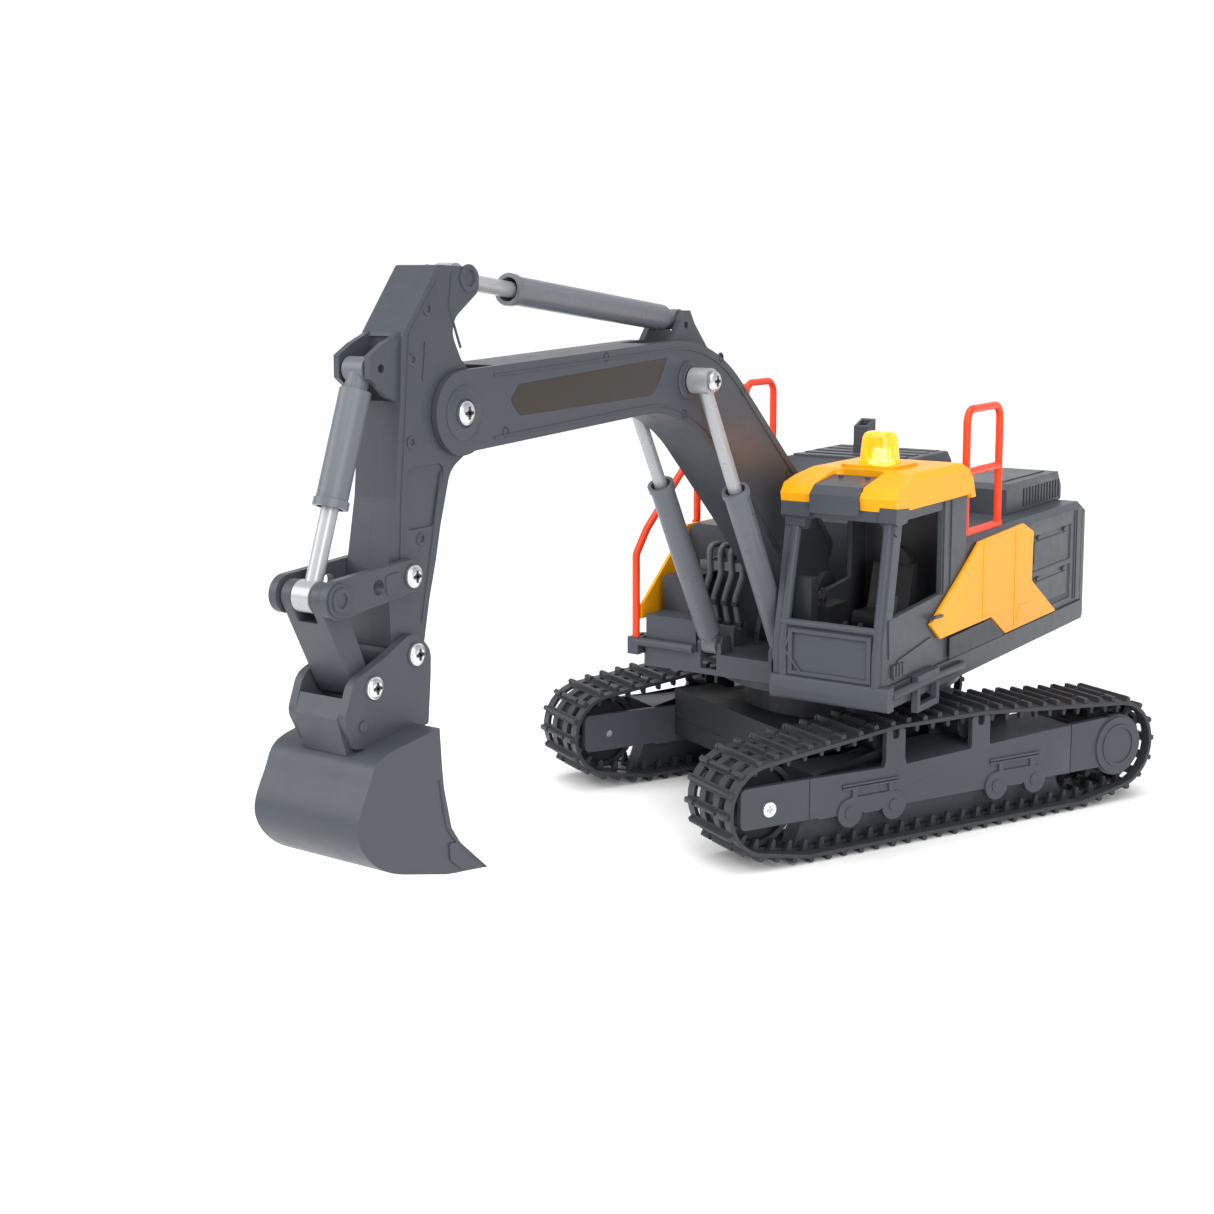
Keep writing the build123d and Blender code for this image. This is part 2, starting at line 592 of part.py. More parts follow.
with BuildPart() as exhaust_stack:
    with BuildSketch(level(UPPER, ENGINE_TOP)):
        with Locations((-90, -30)):
            RectangleRounded(13, 10, 2)
    extrude(amount=5)
    with BuildSketch(side(UPPER, -25.5)):
        polygon((-94.5, ENGINE_TOP + 5), (-84.5, ENGINE_TOP + 5), (-84.5, 187), (-94.5, 191))
    extrude(amount=9)
    with BuildSketch(side(UPPER, -27.2)):
        polygon((-92.8, 180), (-86.2, 180), (-86.2, 192), (-92.8, 192))
    extrude(amount=5.6, mode=Mode.SUBTRACT)
save(exhaust_stack, "exhaust_stack")

LEFT_PANEL = [(-8, 139), (-69, 141), (-84, 135), (-83, 108), (-122, 85), (-46, 85), (-26, 97), (39, 97),
              (51, 106), (27, 119), (16, 125), (4, 132)]
RIGHT_PANEL = [(34, 141), (-69, 141), (-84, 135), (-83, 108), (-122, 85), (-46, 85), (-26, 97), (79, 97),
               (79, 104)]

with BuildPart() as left_side_panel:
    with BuildSketch(side(UPPER, CAB_LEFT + 2)):
        polygon(*LEFT_PANEL)
    extrude(amount=1.8)
    block(UPPER, (-75, HOUSE_HALF, 100), (-10, CAB_LEFT + 0.5, 130))
save(left_side_panel, "left_side_panel")

with BuildPart() as right_side_panel:
    with BuildSketch(side(UPPER, -CAB_LEFT - 0.2)):
        polygon(*RIGHT_PANEL)
    extrude(amount=1.8)
    block(UPPER, (-75, -CAB_LEFT - 0.5, 100), (-10, -HOUSE_HALF, 130))
save(right_side_panel, "right_side_panel")

with BuildPart() as right_toolbox:
    # A low block at the front, and a taller, narrower one behind it that leaves room for the hoses.
    block(UPPER, (64, -70, DECK_TOP), (80, -40, 100))
    block(UPPER, (35, -70, DECK_TOP), (64, -54, 118))
    block(UPPER, (66.5, -67.5, DECK_TOP), (77.5, -42.5, 97.5), Mode.SUBTRACT)
    block(UPPER, (37.5, -67.5, DECK_TOP), (61.5, -56.5, 115.5), Mode.SUBTRACT)
    # Front step bar and the side step that stands out past the deck.
    with BuildSketch(side(UPPER, -40)):
        disc((82.3, 85.7), 2.2)
    extrude(amount=36)
    block(UPPER, (70, -79, 79), (84, -HOUSE_HALF, 88))
    block(UPPER, (73, -76.5, 78), (81, -74, 89), Mode.SUBTRACT)
save(right_toolbox, "right_toolbox")

HOSE = 1.6
HOSE_X = 54.0

with BuildPart() as hose_bundle:
    for hose in range(4):
        hose_y = -29.5 - 6.4 * hose
        with BuildLine(UPPER) as run:
            FilletPolyline((HOSE_X, hose_y, 92), (HOSE_X, hose_y - 3, 107), (HOSE_X, hose_y + 1.5, 120),
                           (HOSE_X, hose_y + 1, 134), (HOSE_X - 11, hose_y + 1, 134.5),
                           (HOSE_X - 16, hose_y + 1, 122), radius=[9, 9, 4.5, 5])
        with BuildSketch(Plane(origin=run.line @ 0, z_dir=run.line % 0)):
            Circle(HOSE)
        sweep(path=run.line)
    # Foot block, clamp bar and the two arms that hold it to the house.
    block(UPPER, (46, -53.5, DECK_TOP), (60, -29.5, 94))
    block(UPPER, (35.5, -52, 121), (40.5, -28, 126))
    block(UPPER, (50, -53.7, 122), (53.5, -28, 126.5))
    block(UPPER, (34.1, -53.8, 121), (51, -51.4, 126))
    block(UPPER, (34.1, -30.4, 121), (51, -28, 126))
save(hose_bundle, "hose_bundle")


def rail(path_points, bend, y):
    """A round rail that follows upright points at y."""
    with BuildLine(side(UPPER, y)) as run:
        FilletPolyline(*path_points, radius=bend)
    with BuildSketch(Plane(origin=run.line @ 0, z_dir=run.line % 0)) as section:
        Circle(RAIL)
    sweep(section.sketch, path=run.line)


RAIL = 2.0
RAIL_TOP = 206.0

with BuildPart() as left_handrail:
    rail([(-5.5, HOUSE_TOP), (-5.5, RAIL_TOP), (-49, RAIL_TOP), (-49, HOUSE_TOP)], 7, 67.5)
    rail([(-5.5, 174), (-27, 174.2), (-49, 174)], 20, 67.5)
    block(UPPER, (-51, 65.6, HOUSE_TOP), (-3.5, 69.4, HOUSE_TOP + 2.4))
save(left_handrail, "left_handrail")

with BuildPart() as right_handrail:
    rail([(81, 88), (81, 131), (71, 143), (-16, 211), (-30, 211)], [4, 14, 5], -75.5)
    rail([(-31, HOUSE_TOP), (-31, 213), (-63, 213), (-63, HOUSE_TOP)], 7, -75.5)
    rail([(21, HOUSE_TOP), (21, 168), (20.8, 182)], 20, -75.5)
    for post in (-31, -63, 21):
        block(UPPER, (post - 2.5, -77, 128), (post + 2.5, -75, HOUSE_TOP))
save(right_handrail, "right_handrail")


# ---------------------------------------------------------------------------------------------------------
# Cab
# ---------------------------------------------------------------------------------------------------------
with BuildPart() as cab_shell:
    with BuildSketch(side(UPPER, CAB_LEFT)):
        polygon((CAB_REAR, DECK_TOP), (CAB_FRONT, DECK_TOP), CAB_BEND, (CAB_BROW, CAB_TOP),
                (CAB_REAR, CAB_TOP))
    extrude(amount=CAB_LEFT - CAB_RIGHT)
    with BuildSketch(side(UPPER, CAB_LEFT - 3)):
        polygon((CAB_REAR + 3, DECK_TOP + 3), (CAB_FRONT - 3, DECK_TOP + 3), (CAB_BEND[0] - 3, CAB_BEND[1]),
                (CAB_BROW - 3, CAB_TOP), (CAB_REAR + 3, CAB_TOP))
    extrude(amount=CAB_LEFT - CAB_RIGHT - 6, mode=Mode.SUBTRACT)
    # Windscreen, door window, right window and rear window are open, as in the moulding.
    with BuildSketch(across(UPPER, 80)):
        box_face((CAB_RIGHT + 6, 110), (CAB_LEFT - 5, 160))
    extrude(amount=30, mode=Mode.SUBTRACT)
    with BuildSketch(side(UPPER, CAB_LEFT + 1)):
        polygon((35, 119), (90, 115.5), (81, 160), (35, 160))
    extrude(amount=5, mode=Mode.SUBTRACT)
    with BuildSketch(side(UPPER, CAB_RIGHT + 4)):
        polygon((24, 120), (90, 114), (81, 160), (24, 160))
    extrude(amount=5, mode=Mode.SUBTRACT)
    # Loop step under the door.
    block(UPPER, (46, 74.2, 67), (71, 78, DECK_TOP + 1))
    block(UPPER, (49, 73, 70.5), (68, 79, 80.5), Mode.SUBTRACT)
    block(UPPER, (46, CAB_LEFT - 1, DECK_TOP), (71, 76, DECK_TOP + 1))
save(cab_shell, "cab_shell")

ROOF_TOP = 181.0

with BuildPart() as cab_roof:
    with BuildSketch(side(UPPER, CAB_LEFT + 2)):
        polygon((-1, 163), (4.6, 163), (4.6, CAB_TOP), (92, CAB_TOP), (93.5, 171), (90, 175.5),
                (66, ROOF_TOP), (12, ROOF_TOP), (3, 173))
    extrude(amount=CAB_LEFT - CAB_RIGHT + 3)
    chamfer(cab_roof.edges().filter_by(Axis.X).group_by(Axis.Z)[-1], 3)
    with BuildSketch(level(UPPER, CAB_TOP)):
        box_face((12, CAB_RIGHT + 3), (84, CAB_LEFT - 3))
    extrude(amount=7, mode=Mode.SUBTRACT)
    # Notch at the front for the roof hatch.
    with BuildSketch(level(UPPER, 173.5)):
        rounded([(66, 31), (110, 31), (110, 57), (66, 57)], [4, 0, 0, 4])
    extrude(amount=10, mode=Mode.SUBTRACT)
    with BuildSketch(level(UPPER, ROOF_TOP)):
        with Locations((46, 44)):
            RectangleRounded(32, 30, 6)
    extrude(amount=1.6)
save(cab_roof, "cab_roof")

BEACON_X, BEACON_Y = 46.0, 44.0

with BuildPart() as beacon_lens:
    with BuildSketch(level(UPPER, ROOF_TOP + 1.6)):
        with Locations((BEACON_X, BEACON_Y)):
            Circle(9.6)
    extrude(amount=15.5, taper=9)
    fillet(beacon_lens.edges().sort_by(Axis.Z)[-1], 2.5)
    with BuildSketch(level(UPPER, ROOF_TOP + 1.6)):
        with Locations((BEACON_X, BEACON_Y)):
            Circle(7.6)
    extrude(amount=12, taper=9, mode=Mode.SUBTRACT)
save(beacon_lens, "beacon_lens")

with BuildPart() as beacon_lamp:
    with BuildSketch(level(UPPER, ROOF_TOP + 1.6)):
        with Locations((BEACON_X, BEACON_Y)):
            Circle(4)
    extrude(amount=1.2)
    with BuildSketch(level(UPPER, ROOF_TOP + 2.8)):
        with Locations((BEACON_X, BEACON_Y)):
            Circle(2.5)
    extrude(amount=6)
    fillet(beacon_lamp.edges().sort_by(Axis.Z)[-1], 2.2)
save(beacon_lamp, "beacon_lamp")

CAB_FLOOR = DECK_TOP + 3
SEAT_Y = 45.0

with BuildPart() as cab_seat:
    with BuildSketch(side(UPPER, SEAT_Y + 11)):
        rounded([(22, CAB_FLOOR), (50, CAB_FLOOR), (54, 104), (53, 109), (36, 108), (30, 131), (22, 131)],
                [1, 1, 3, 3, 4, 3, 2])
    extrude(amount=22)
    with BuildSketch(across(UPPER, 22.5)):
        with Locations((SEAT_Y, 131)):
            Circle(8)
    extrude(amount=6.5)
save(cab_seat, "cab_seat")

with BuildPart() as cab_console:
    block(UPPER, (54, 60, CAB_FLOOR), (76, 69, 112))
    block(UPPER, (54, 21, CAB_FLOOR), (76, 32, 114))
    block(UPPER, (84, 21, CAB_FLOOR), (91, 31, 130))
    for lever_y in (41, 49):
        rod_across(UPPER, (72, CAB_FLOOR + 1.6), 1.6, lever_y + 1.2, lever_y - 1.2)
        with BuildSketch(side(UPPER, lever_y + 1.2)):
            polygon((70.6, CAB_FLOOR), (73.4, CAB_FLOOR), (76, 107), (73.8, 108))
        extrude(amount=2.4)
    block(UPPER, (60, 21, CAB_FLOOR), (91, 69, CAB_FLOOR + 1))
    rod_across(UPPER, (70, 117), 1.6, 28, 25)
    with BuildSketch(level(UPPER, 113)):
        with Locations((70, 26.5), (70, 64.5)):
            Circle(1.3)
    extrude(amount=9)
    block(UPPER, (68, 62, 111), (72, 67, 114))
save(cab_console, "cab_console")


# ---------------------------------------------------------------------------------------------------------
# Inside the house
# ---------------------------------------------------------------------------------------------------------
FLOOR = DECK_LOW + WALL

with BuildPart() as slew_gearmotor:
    with BuildSketch(level(UPPER, FLOOR)):
        with Locations((-SLEW_CENTRES - 6, 0)):
            RectangleRounded(34, 26, 3)
    extrude(amount=14)
    with BuildSketch(level(UPPER, FLOOR + 14)):
        with Locations((-SLEW_CENTRES - 10, 0)):
            Circle(10)
    extrude(amount=26)
    with BuildSketch(level(UPPER, FLOOR)):
        with Locations((-SLEW_CENTRES, 0)):
            Circle(SHAFT + RUNNING)
    extrude(amount=7, mode=Mode.SUBTRACT)
save(slew_gearmotor, "slew_gearmotor")

with BuildPart() as boom_gearmotor:
    block(UPPER, (-74, -66, FLOOR), (-26, -34, FLOOR + 30))
    with BuildSketch(across(UPPER, -106)):
        disc((-50, FLOOR + 15), 11)
    extrude(amount=33)
save(boom_gearmotor, "boom_gearmotor")

with BuildPart() as control_board:
    block(UPPER, (-158, -50, 100), (-108, 50, 101.6))
    for chip_x, chip_y, chip_half in ((-145, -20, 7), (-125, 15, 9), (-140, 34, 5), (-118, -32, 4)):
        block(UPPER, (chip_x - chip_half, chip_y - chip_half, 101.6),
              (chip_x + chip_half, chip_y + chip_half, 104.5))
    for post_x in (-155, -111):
        for post_y in (-47, 47):
            block(UPPER, (post_x - 2, post_y - 2, FLOOR), (post_x + 2, post_y + 2, 100))
save(control_board, "control_board")


# ---------------------------------------------------------------------------------------------------------
# Arm
# ---------------------------------------------------------------------------------------------------------
BOOM_OUTLINE = [(314, 239), (133.4, 246.2), (48, 174), (9.5, 134.5), (22, 110), (32, 99), (86, 152),
                (157, 215.5), (314, 208)]
BOOM_BENDS = [0, 88, 20, 0, 0, 0, 0, 84, 0]
BRACKET = 6.0                               # inner faces of the stick cylinder's bracket from BOOM_Y
STICK_FOOT_PIN = (STICK_FOOT[0] + 0.3, STICK_FOOT[1] - 2.5)


def boom_half(sign):
    """One half of the boom: a hollow shell, split down the middle, with a trunnion and a fork cheek."""
    face = BOOM_Y + sign * BOOM_HALF
    with BuildPart() as half:
        with BuildSketch(side(UPPER, face)):
            rounded(BOOM_OUTLINE, BOOM_BENDS)
            disc(STICK_PIVOT, 16)
            disc(BOOM_FOOT, 14)
        extrude(amount=sign * BOOM_HALF)
        with BuildSketch(side(UPPER, face - sign * WALL)):
            with BuildSketch(mode=Mode.PRIVATE) as outline:
                rounded(BOOM_OUTLINE, BOOM_BENDS)
                disc(BOOM_FOOT, 14)
                offset(amount=-WALL)
            add(outline.sketch)
            disc(BOOM_EYE, 8, mode=Mode.SUBTRACT)
        extrude(amount=sign * (BOOM_HALF - WALL), mode=Mode.SUBTRACT)
        with BuildSketch(side(UPPER, face - sign * (BOOM_HALF - STICK_HALF - GAP))):
            disc(STICK_PIVOT, 27)
            box_face((STICK_PIVOT[0], 190), (STICK_PIVOT[0] + 30, 260))
        extrude(amount=sign * BOOM_HALF, mode=Mode.SUBTRACT)
        with BuildSketch(side(UPPER, face + sign * 3)):
            disc(BOOM_FOOT, 5)
        extrude(amount=sign * 4)
        # Trough for the stick cylinder and one half of its bracket.
        with BuildSketch(side(UPPER, BOOM_Y + sign * BRACKET)):
            polygon((143, 251), (182, 251), (182, 243), (160, 243.5), (150, 242.4), (143, 241))
        extrude(amount=sign * BRACKET, mode=Mode.SUBTRACT)
        with BuildSketch(side(UPPER, BOOM_Y + sign * (BRACKET + 3))):
            polygon((131, 240), (166, 240), (156, 252), (152, 258), (147, 258), (143, 252))
            disc(STICK_FOOT_PIN, 5.5)
            disc(STICK_FOOT_PIN, 1.6, mode=Mode.SUBTRACT)
        extrude(amount=sign * 3)
        rod_across(UPPER, BOOM_EYE, PIN, face + sign, BOOM_Y - sign, Mode.SUBTRACT)
        rod_across(UPPER, STICK_PIVOT, PIN, face + sign, BOOM_Y - sign, Mode.SUBTRACT)
    return half


for side_name, side_sign in SIDES:
    save(boom_half(side_sign), f"boom_{side_name}_half")

with BuildPart() as boom_bolts:
    reach = CYLINDER_OFFSET + 5.6
    rod_across(UPPER, BOOM_EYE, PIN, BOOM_Y + reach, BOOM_Y - reach)
    rod_across(UPPER, STICK_PIVOT, PIN, BOOM_Y + BOOM_HALF, BOOM_Y - BOOM_HALF)
    for bolt_y in (BOOM_Y + reach + 1.4, BOOM_Y - reach):
        rod_across(UPPER, BOOM_EYE, 4.4, bolt_y, bolt_y - 1.4)
    for bolt_y in (BOOM_Y + BOOM_HALF + 1.6, BOOM_Y - BOOM_HALF):
        rod_across(UPPER, STICK_PIVOT, 4.6, bolt_y, bolt_y - 1.6)
save(boom_bolts, "boom_bolts")


def toward(start, end):
    """Upright plane through BOOM_Y's lengthwise direction whose normal runs from start to end."""
    length = hypot(end[0] - start[0], end[1] - start[1])
    forward = ((end[0] - start[0]) / length, (end[1] - start[1]) / length)
    return forward, length


def on_line(start, end, y, distance):
    """Plane square to the line from start to end, at a distance from start."""
    forward, _ = toward(start, end)
    point = (SLEW_X + start[0] + forward[0] * distance, y, start[1] + forward[1] * distance)
    return Plane(origin=point, x_dir=(0, 1, 0), z_dir=(forward[0], 0, forward[1]))


def rod_piece(eye, foot, y, length, eye_half, eye_hole):
    """A piston rod with its eye, running from the eye towards the cylinder's foot."""
    rod_across(UPPER, eye, ROD + 2.6, y + eye_half, y - eye_half)
    with BuildSketch(on_line(eye, foot, y, 3)) as section:
        Circle(ROD)
    extrude(section.sketch, amount=length - 3)
    rod_across(UPPER, eye, eye_hole, y + eye_half + 1, y - eye_half - 1, Mode.SUBTRACT)


def barrel_piece(eye, foot, y, mouth, eye_half):
    """A cylinder barrel with a blind bore, open towards the rod's eye, and an eye at its foot."""
    _, length = toward(foot, eye)
    rod_across(UPPER, foot, FOOT_EYE, y + eye_half, y - eye_half)
    with BuildSketch(on_line(foot, eye, y, 2)) as section:
        Circle(eye_half - 0.5)
    extrude(section.sketch, amount=9)
    with BuildSketch(on_line(foot, eye, y, 8)) as section:
        Circle(BARREL)
    extrude(section.sketch, amount=mouth - 8)
    with BuildSketch(on_line(foot, eye, y, mouth - 3)) as section:
        Circle(BARREL + 0.7)
    extrude(section.sketch, amount=3)
    with BuildSketch(on_line(foot, eye, y, 12)) as section:
        Circle(BORE)
    extrude(section.sketch, amount=length, mode=Mode.SUBTRACT)
    rod_across(UPPER, foot, 1.6, y + eye_half + 1, y - eye_half - 1, Mode.SUBTRACT)


CYLINDER_YS = (BOOM_Y + CYLINDER_OFFSET, BOOM_Y - CYLINDER_OFFSET)

with BuildPart() as boom_rods:
    for cylinder_y in CYLINDER_YS:
        rod_piece(BOOM_EYE, DECK_EYE, cylinder_y, 112, 4.8, PIN + RUNNING)
save(boom_rods, "boom_rods")

with BuildPart() as boom_barrels:
    for cylinder_y in CYLINDER_YS:
        barrel_piece(BOOM_EYE, DECK_EYE, cylinder_y, 100, 4.0)
save(boom_barrels, "boom_barrels")

with BuildPart() as stick_rod:
    rod_piece(STICK_EYE, STICK_FOOT, BOOM_Y, 104, 4.0, PIN - 0.5 + RUNNING)
save(stick_rod, "stick_rod")

with BuildPart() as stick_barrel:
    barrel_piece(STICK_EYE, STICK_FOOT, BOOM_Y, 121, 5.0)
save(stick_barrel, "stick_barrel")

STICK_OUTLINE = [(325, 278), (300.5, 277), (301, 268), (319, 256), (312, 243), (298.5, 231), (299, 215),
                 (310, 207), (319, 202), (325, 182), (328, 169), (332, 155), (336.5, 134), (353.6, 140),
                 (355, 168), (350, 194), (346.5, 230), (345.5, 252)]
STICK_ROUNDS = [2, 4, 4, 8, 6, 10, 10, 4, 10, 20, 20, 20, 1, 1, 8, 12, 10, 8]
EARS_INNER = BARREL + GAP                   # inner and outer faces of the bucket cylinder's ears from BOOM_Y
EARS_OUTER = 8.6


def stick_half(sign):
    """One half of the stick: a hollow shell, split down the middle, forked at its top end."""
    face = BOOM_Y + sign * STICK_HALF
    with BuildPart() as half:
        with BuildSketch(side(UPPER, face)):
            rounded(STICK_OUTLINE, STICK_ROUNDS)
            disc(BUCKET_PIVOT, 8.8)
            disc(STICK_PIVOT, 14)
        extrude(amount=sign * STICK_HALF)
        with BuildSketch(side(UPPER, face - sign * WALL)):
            polygon((341, 228), (320, 228), (322, 210), (328, 190), (333, 172), (337, 160), (350, 160),
                    (346, 190))
        extrude(amount=sign * (STICK_HALF - WALL), mode=Mode.SUBTRACT)
        # Slot for the stick cylinder's eye.
        with BuildSketch(side(UPPER, BOOM_Y + sign * 4.5)):
            polygon((296, 281), (296, 262), (313, 262), (317, 267), (317, 281))
        extrude(amount=sign * 5, mode=Mode.SUBTRACT)
        rod_across(UPPER, STICK_PIVOT, PIN + RUNNING, face + sign, BOOM_Y - sign, Mode.SUBTRACT)
        rod_across(UPPER, STICK_EYE, PIN - 0.5, face + sign, BOOM_Y - sign, Mode.SUBTRACT)
        for pin in (ROCKER_PIVOT, BUCKET_PIVOT):
            rod_across(UPPER, pin, PIN, face + sign, BOOM_Y - sign, Mode.SUBTRACT)
        # Sunken side panel, the pocket behind the bucket cylinder's foot and the ears that hold it.
        with BuildSketch(side(UPPER, face)):
            rounded([(322, 205), (343, 205), (345, 182), (329, 182)], 3)
        extrude(amount=sign * 0.7, mode=Mode.SUBTRACT)
        with BuildSketch(side(UPPER, BOOM_Y + sign * EARS_INNER)):
            polygon((349, 228), (349, 254), (344, 252), (344.6, 230))
        extrude(amount=sign * EARS_INNER, mode=Mode.SUBTRACT)
        with BuildSketch(side(UPPER, BOOM_Y + sign * EARS_OUTER)):
            polygon((344, 254), (344, 228), (352, 231), (361, 238), (361, 246), (354, 250))
            disc((BUCKET_FOOT[0] - 1.5, BUCKET_FOOT[1] + 0.3), 1.6, mode=Mode.SUBTRACT)
        extrude(amount=sign * (EARS_OUTER - EARS_INNER))
    return half


for side_name, side_sign in SIDES:
    save(stick_half(side_sign), f"stick_{side_name}_half")

# Outer faces of the rocker's arms and the bucket's ears from BOOM_Y.
EAR_OUT = STICK_HALF + GAP + EAR

with BuildPart() as stick_bolts:
    for pin, half_width in ((ROCKER_PIVOT, EAR_OUT), (BUCKET_PIVOT, EAR_OUT)):
        rod_across(UPPER, pin, PIN, BOOM_Y + half_width + 0.2, BOOM_Y - half_width - 0.2)
        for bolt_y in (BOOM_Y + half_width + 1.6, BOOM_Y - half_width - 0.2):
            rod_across(UPPER, pin, 4.2, bolt_y, bolt_y - 1.4)
    rod_across(UPPER, STICK_EYE, PIN - 0.5, BOOM_Y + STICK_HALF, BOOM_Y - STICK_HALF)
save(stick_bolts, "stick_bolts")

with BuildPart() as bucket_rod:
    rod_piece(ROCKER_END, BUCKET_FOOT, BOOM_Y, 54, 4.0, PIN + RUNNING)
save(bucket_rod, "bucket_rod")

with BuildPart() as bucket_barrel:
    barrel_piece(ROCKER_END, BUCKET_FOOT, BOOM_Y, 51, 4.8)
save(bucket_barrel, "bucket_barrel")

with BuildPart() as rocker_link:
    for arm_y in (BOOM_Y + EAR_OUT, BOOM_Y - EAR_OUT + EAR):
        with BuildSketch(side(UPPER, arm_y)):
            with BuildSketch(mode=Mode.PRIVATE) as arm:
                disc(ROCKER_PIVOT, 6.2)
                disc(ROCKER_END, 7)
                make_hull()
            add(arm.sketch)
            disc(ROCKER_PIVOT, PIN + RUNNING, mode=Mode.SUBTRACT)
            disc((364, 164.5), 2.8, mode=Mode.SUBTRACT)
        extrude(amount=EAR)
    rod_across(UPPER, ROCKER_END, PIN, BOOM_Y + EAR_OUT, BOOM_Y - EAR_OUT)
    for boss_y in (BOOM_Y + EAR_OUT + 1.2, BOOM_Y - EAR_OUT):
        with BuildSketch(side(UPPER, boss_y)):
            disc(ROCKER_END, 4.6)
            disc(ROCKER_END, 2.4, mode=Mode.SUBTRACT)
        extrude(amount=1.2)
save(rocker_link, "rocker_link")

PUSH_HALF = STICK_HALF - 0.6

with BuildPart() as push_link:
    with BuildSketch(side(UPPER, BOOM_Y + PUSH_HALF)):
        with BuildSketch(mode=Mode.PRIVATE) as bar:
            disc(ROCKER_END, 5.6)
            disc(BUCKET_EYE, 4.4)
            make_hull()
        add(bar.sketch)
        disc(ROCKER_END, PIN + RUNNING, mode=Mode.SUBTRACT)
    extrude(amount=2 * PUSH_HALF)
    # Slot for the eye of the bucket cylinder's rod.
    with BuildSketch(side(UPPER, BOOM_Y + 4.5)):
        disc(ROCKER_END, 9)
    extrude(amount=9, mode=Mode.SUBTRACT)
save(push_link, "push_link")


def bucket_profile(wall):
    """Side outline of the bucket, open towards the machine, shrunk inwards by the wall."""
    with BuildLine() as outline:
        Polyline((345, 111 - wall), (344 - 5 * wall, 97), (343 - 5 * wall, 88), (339 - 5 * wall, 72),
                 (334 - 5 * wall, 65 + 0.1 * wall), (318, 51 + wall), (342, 55 + wall), (366, 62 + wall))
        Spline((366, 62 + wall), (381.5 - 0.7 * wall, 70 + 0.7 * wall), (389.5 - wall, 84),
               (383.5 - 0.6 * wall, 98 - 0.6 * wall), (366, 109 - wall),
               tangents=((0.95, 0.3), (-0.95, 0.1)))
        Line((366, 109 - wall), (345, 111 - wall))
    make_face(outline.line)


with BuildPart() as bucket:
    with BuildSketch(side(UPPER, BOOM_Y + BUCKET_HALF)):
        bucket_profile(0)
    extrude(amount=2 * BUCKET_HALF)
    with BuildSketch(side(UPPER, BOOM_Y + BUCKET_HALF - WALL)):
        bucket_profile(WALL)
    extrude(amount=2 * (BUCKET_HALF - WALL), mode=Mode.SUBTRACT)
    # Ears and hood of the hinge bracket.
    for ear_y in (BOOM_Y + EAR_OUT, BOOM_Y - EAR_OUT + EAR):
        with BuildSketch(side(UPPER, ear_y)):
            rounded([(338, 109.5), (336.5, 126), (336, 137), (345, 146), (362, 138.5), (378, 133),
                     (383, 120), (377, 108.5), (366, 107.5)], [1, 3, 8, 8, 6, 8, 6, 1, 1])
            disc(BUCKET_PIVOT, PIN + RUNNING, mode=Mode.SUBTRACT)
        extrude(amount=EAR)
    with BuildSketch(side(UPPER, BOOM_Y + STICK_HALF + GAP)):
        polygon((375.5, 106), (378.5, 106), (383, 120), (380, 127), (377.5, 125), (379, 119), (374, 110))
        polygon((341, 109), (372, 107), (376, 110), (341, 113))
    extrude(amount=2 * (STICK_HALF + GAP))
    # Side cutters and tooth adapters along the lip.
    for tooth in range(5):
        tooth_y = BOOM_Y - BUCKET_HALF + 4 + tooth * (2 * BUCKET_HALF - 8) / 4
        with BuildSketch(side(UPPER, tooth_y + 2.6)):
            polygon((318, 50.8), (336, 53.4), (336, 57.5), (331, 61))
        extrude(amount=5.2)
save(bucket, "bucket")

with BuildPart() as bucket_bolt:
    for bolt_y in (BOOM_Y + EAR_OUT + 1.4, BOOM_Y - EAR_OUT):
        rod_across(UPPER, BUCKET_EYE, 4.2, bolt_y, bolt_y - 1.4)
save(bucket_bolt, "bucket_bolt")
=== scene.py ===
import json
from math import acos, atan2, cos, pi, radians, sin

import bmesh
import bpy
from mathutils import Matrix, Vector


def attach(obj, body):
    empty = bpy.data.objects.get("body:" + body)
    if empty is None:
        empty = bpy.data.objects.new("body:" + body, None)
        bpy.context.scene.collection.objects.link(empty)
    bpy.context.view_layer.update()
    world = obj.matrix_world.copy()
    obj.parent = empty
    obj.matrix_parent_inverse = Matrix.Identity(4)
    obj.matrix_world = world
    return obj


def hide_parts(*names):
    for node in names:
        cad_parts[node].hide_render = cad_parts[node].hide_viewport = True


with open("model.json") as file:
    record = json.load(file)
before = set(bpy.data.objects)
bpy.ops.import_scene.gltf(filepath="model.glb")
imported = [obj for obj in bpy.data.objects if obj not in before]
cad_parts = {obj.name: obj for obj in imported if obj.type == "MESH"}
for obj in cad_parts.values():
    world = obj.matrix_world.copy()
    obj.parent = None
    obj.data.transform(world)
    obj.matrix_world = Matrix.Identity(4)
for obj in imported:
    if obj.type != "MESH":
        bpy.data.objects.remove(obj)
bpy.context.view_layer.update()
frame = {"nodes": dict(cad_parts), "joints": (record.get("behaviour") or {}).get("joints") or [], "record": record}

# ---------------------------------------------------------------------------------------------------------
# Frames. Shapes are drawn in millimetres in one of two frames: UPPER for the slewing works and the arm (x
# forward, y to the cab side, z up, origin on the ground under the slewing axis) and LOWER for the tracks.
# ---------------------------------------------------------------------------------------------------------
MM = 0.001
joints = {joint["name"]: joint for joint in frame["joints"]}
slew_x = joints["slew"]["pos_m"][0]
track_axis = Vector(joints["left_track_drive"]["axis"])
UPPER = Matrix.Translation((slew_x, 0, 0)) @ Matrix.Scale(MM, 4)
LOWER = UPPER @ Matrix.Rotation(atan2(-track_axis.x, track_axis.y), 4, "Z")


def joint_point(name, place):
    """A joint's place in a frame, in millimetres."""
    return place.inverted() @ Vector(joints[name]["pos_m"])


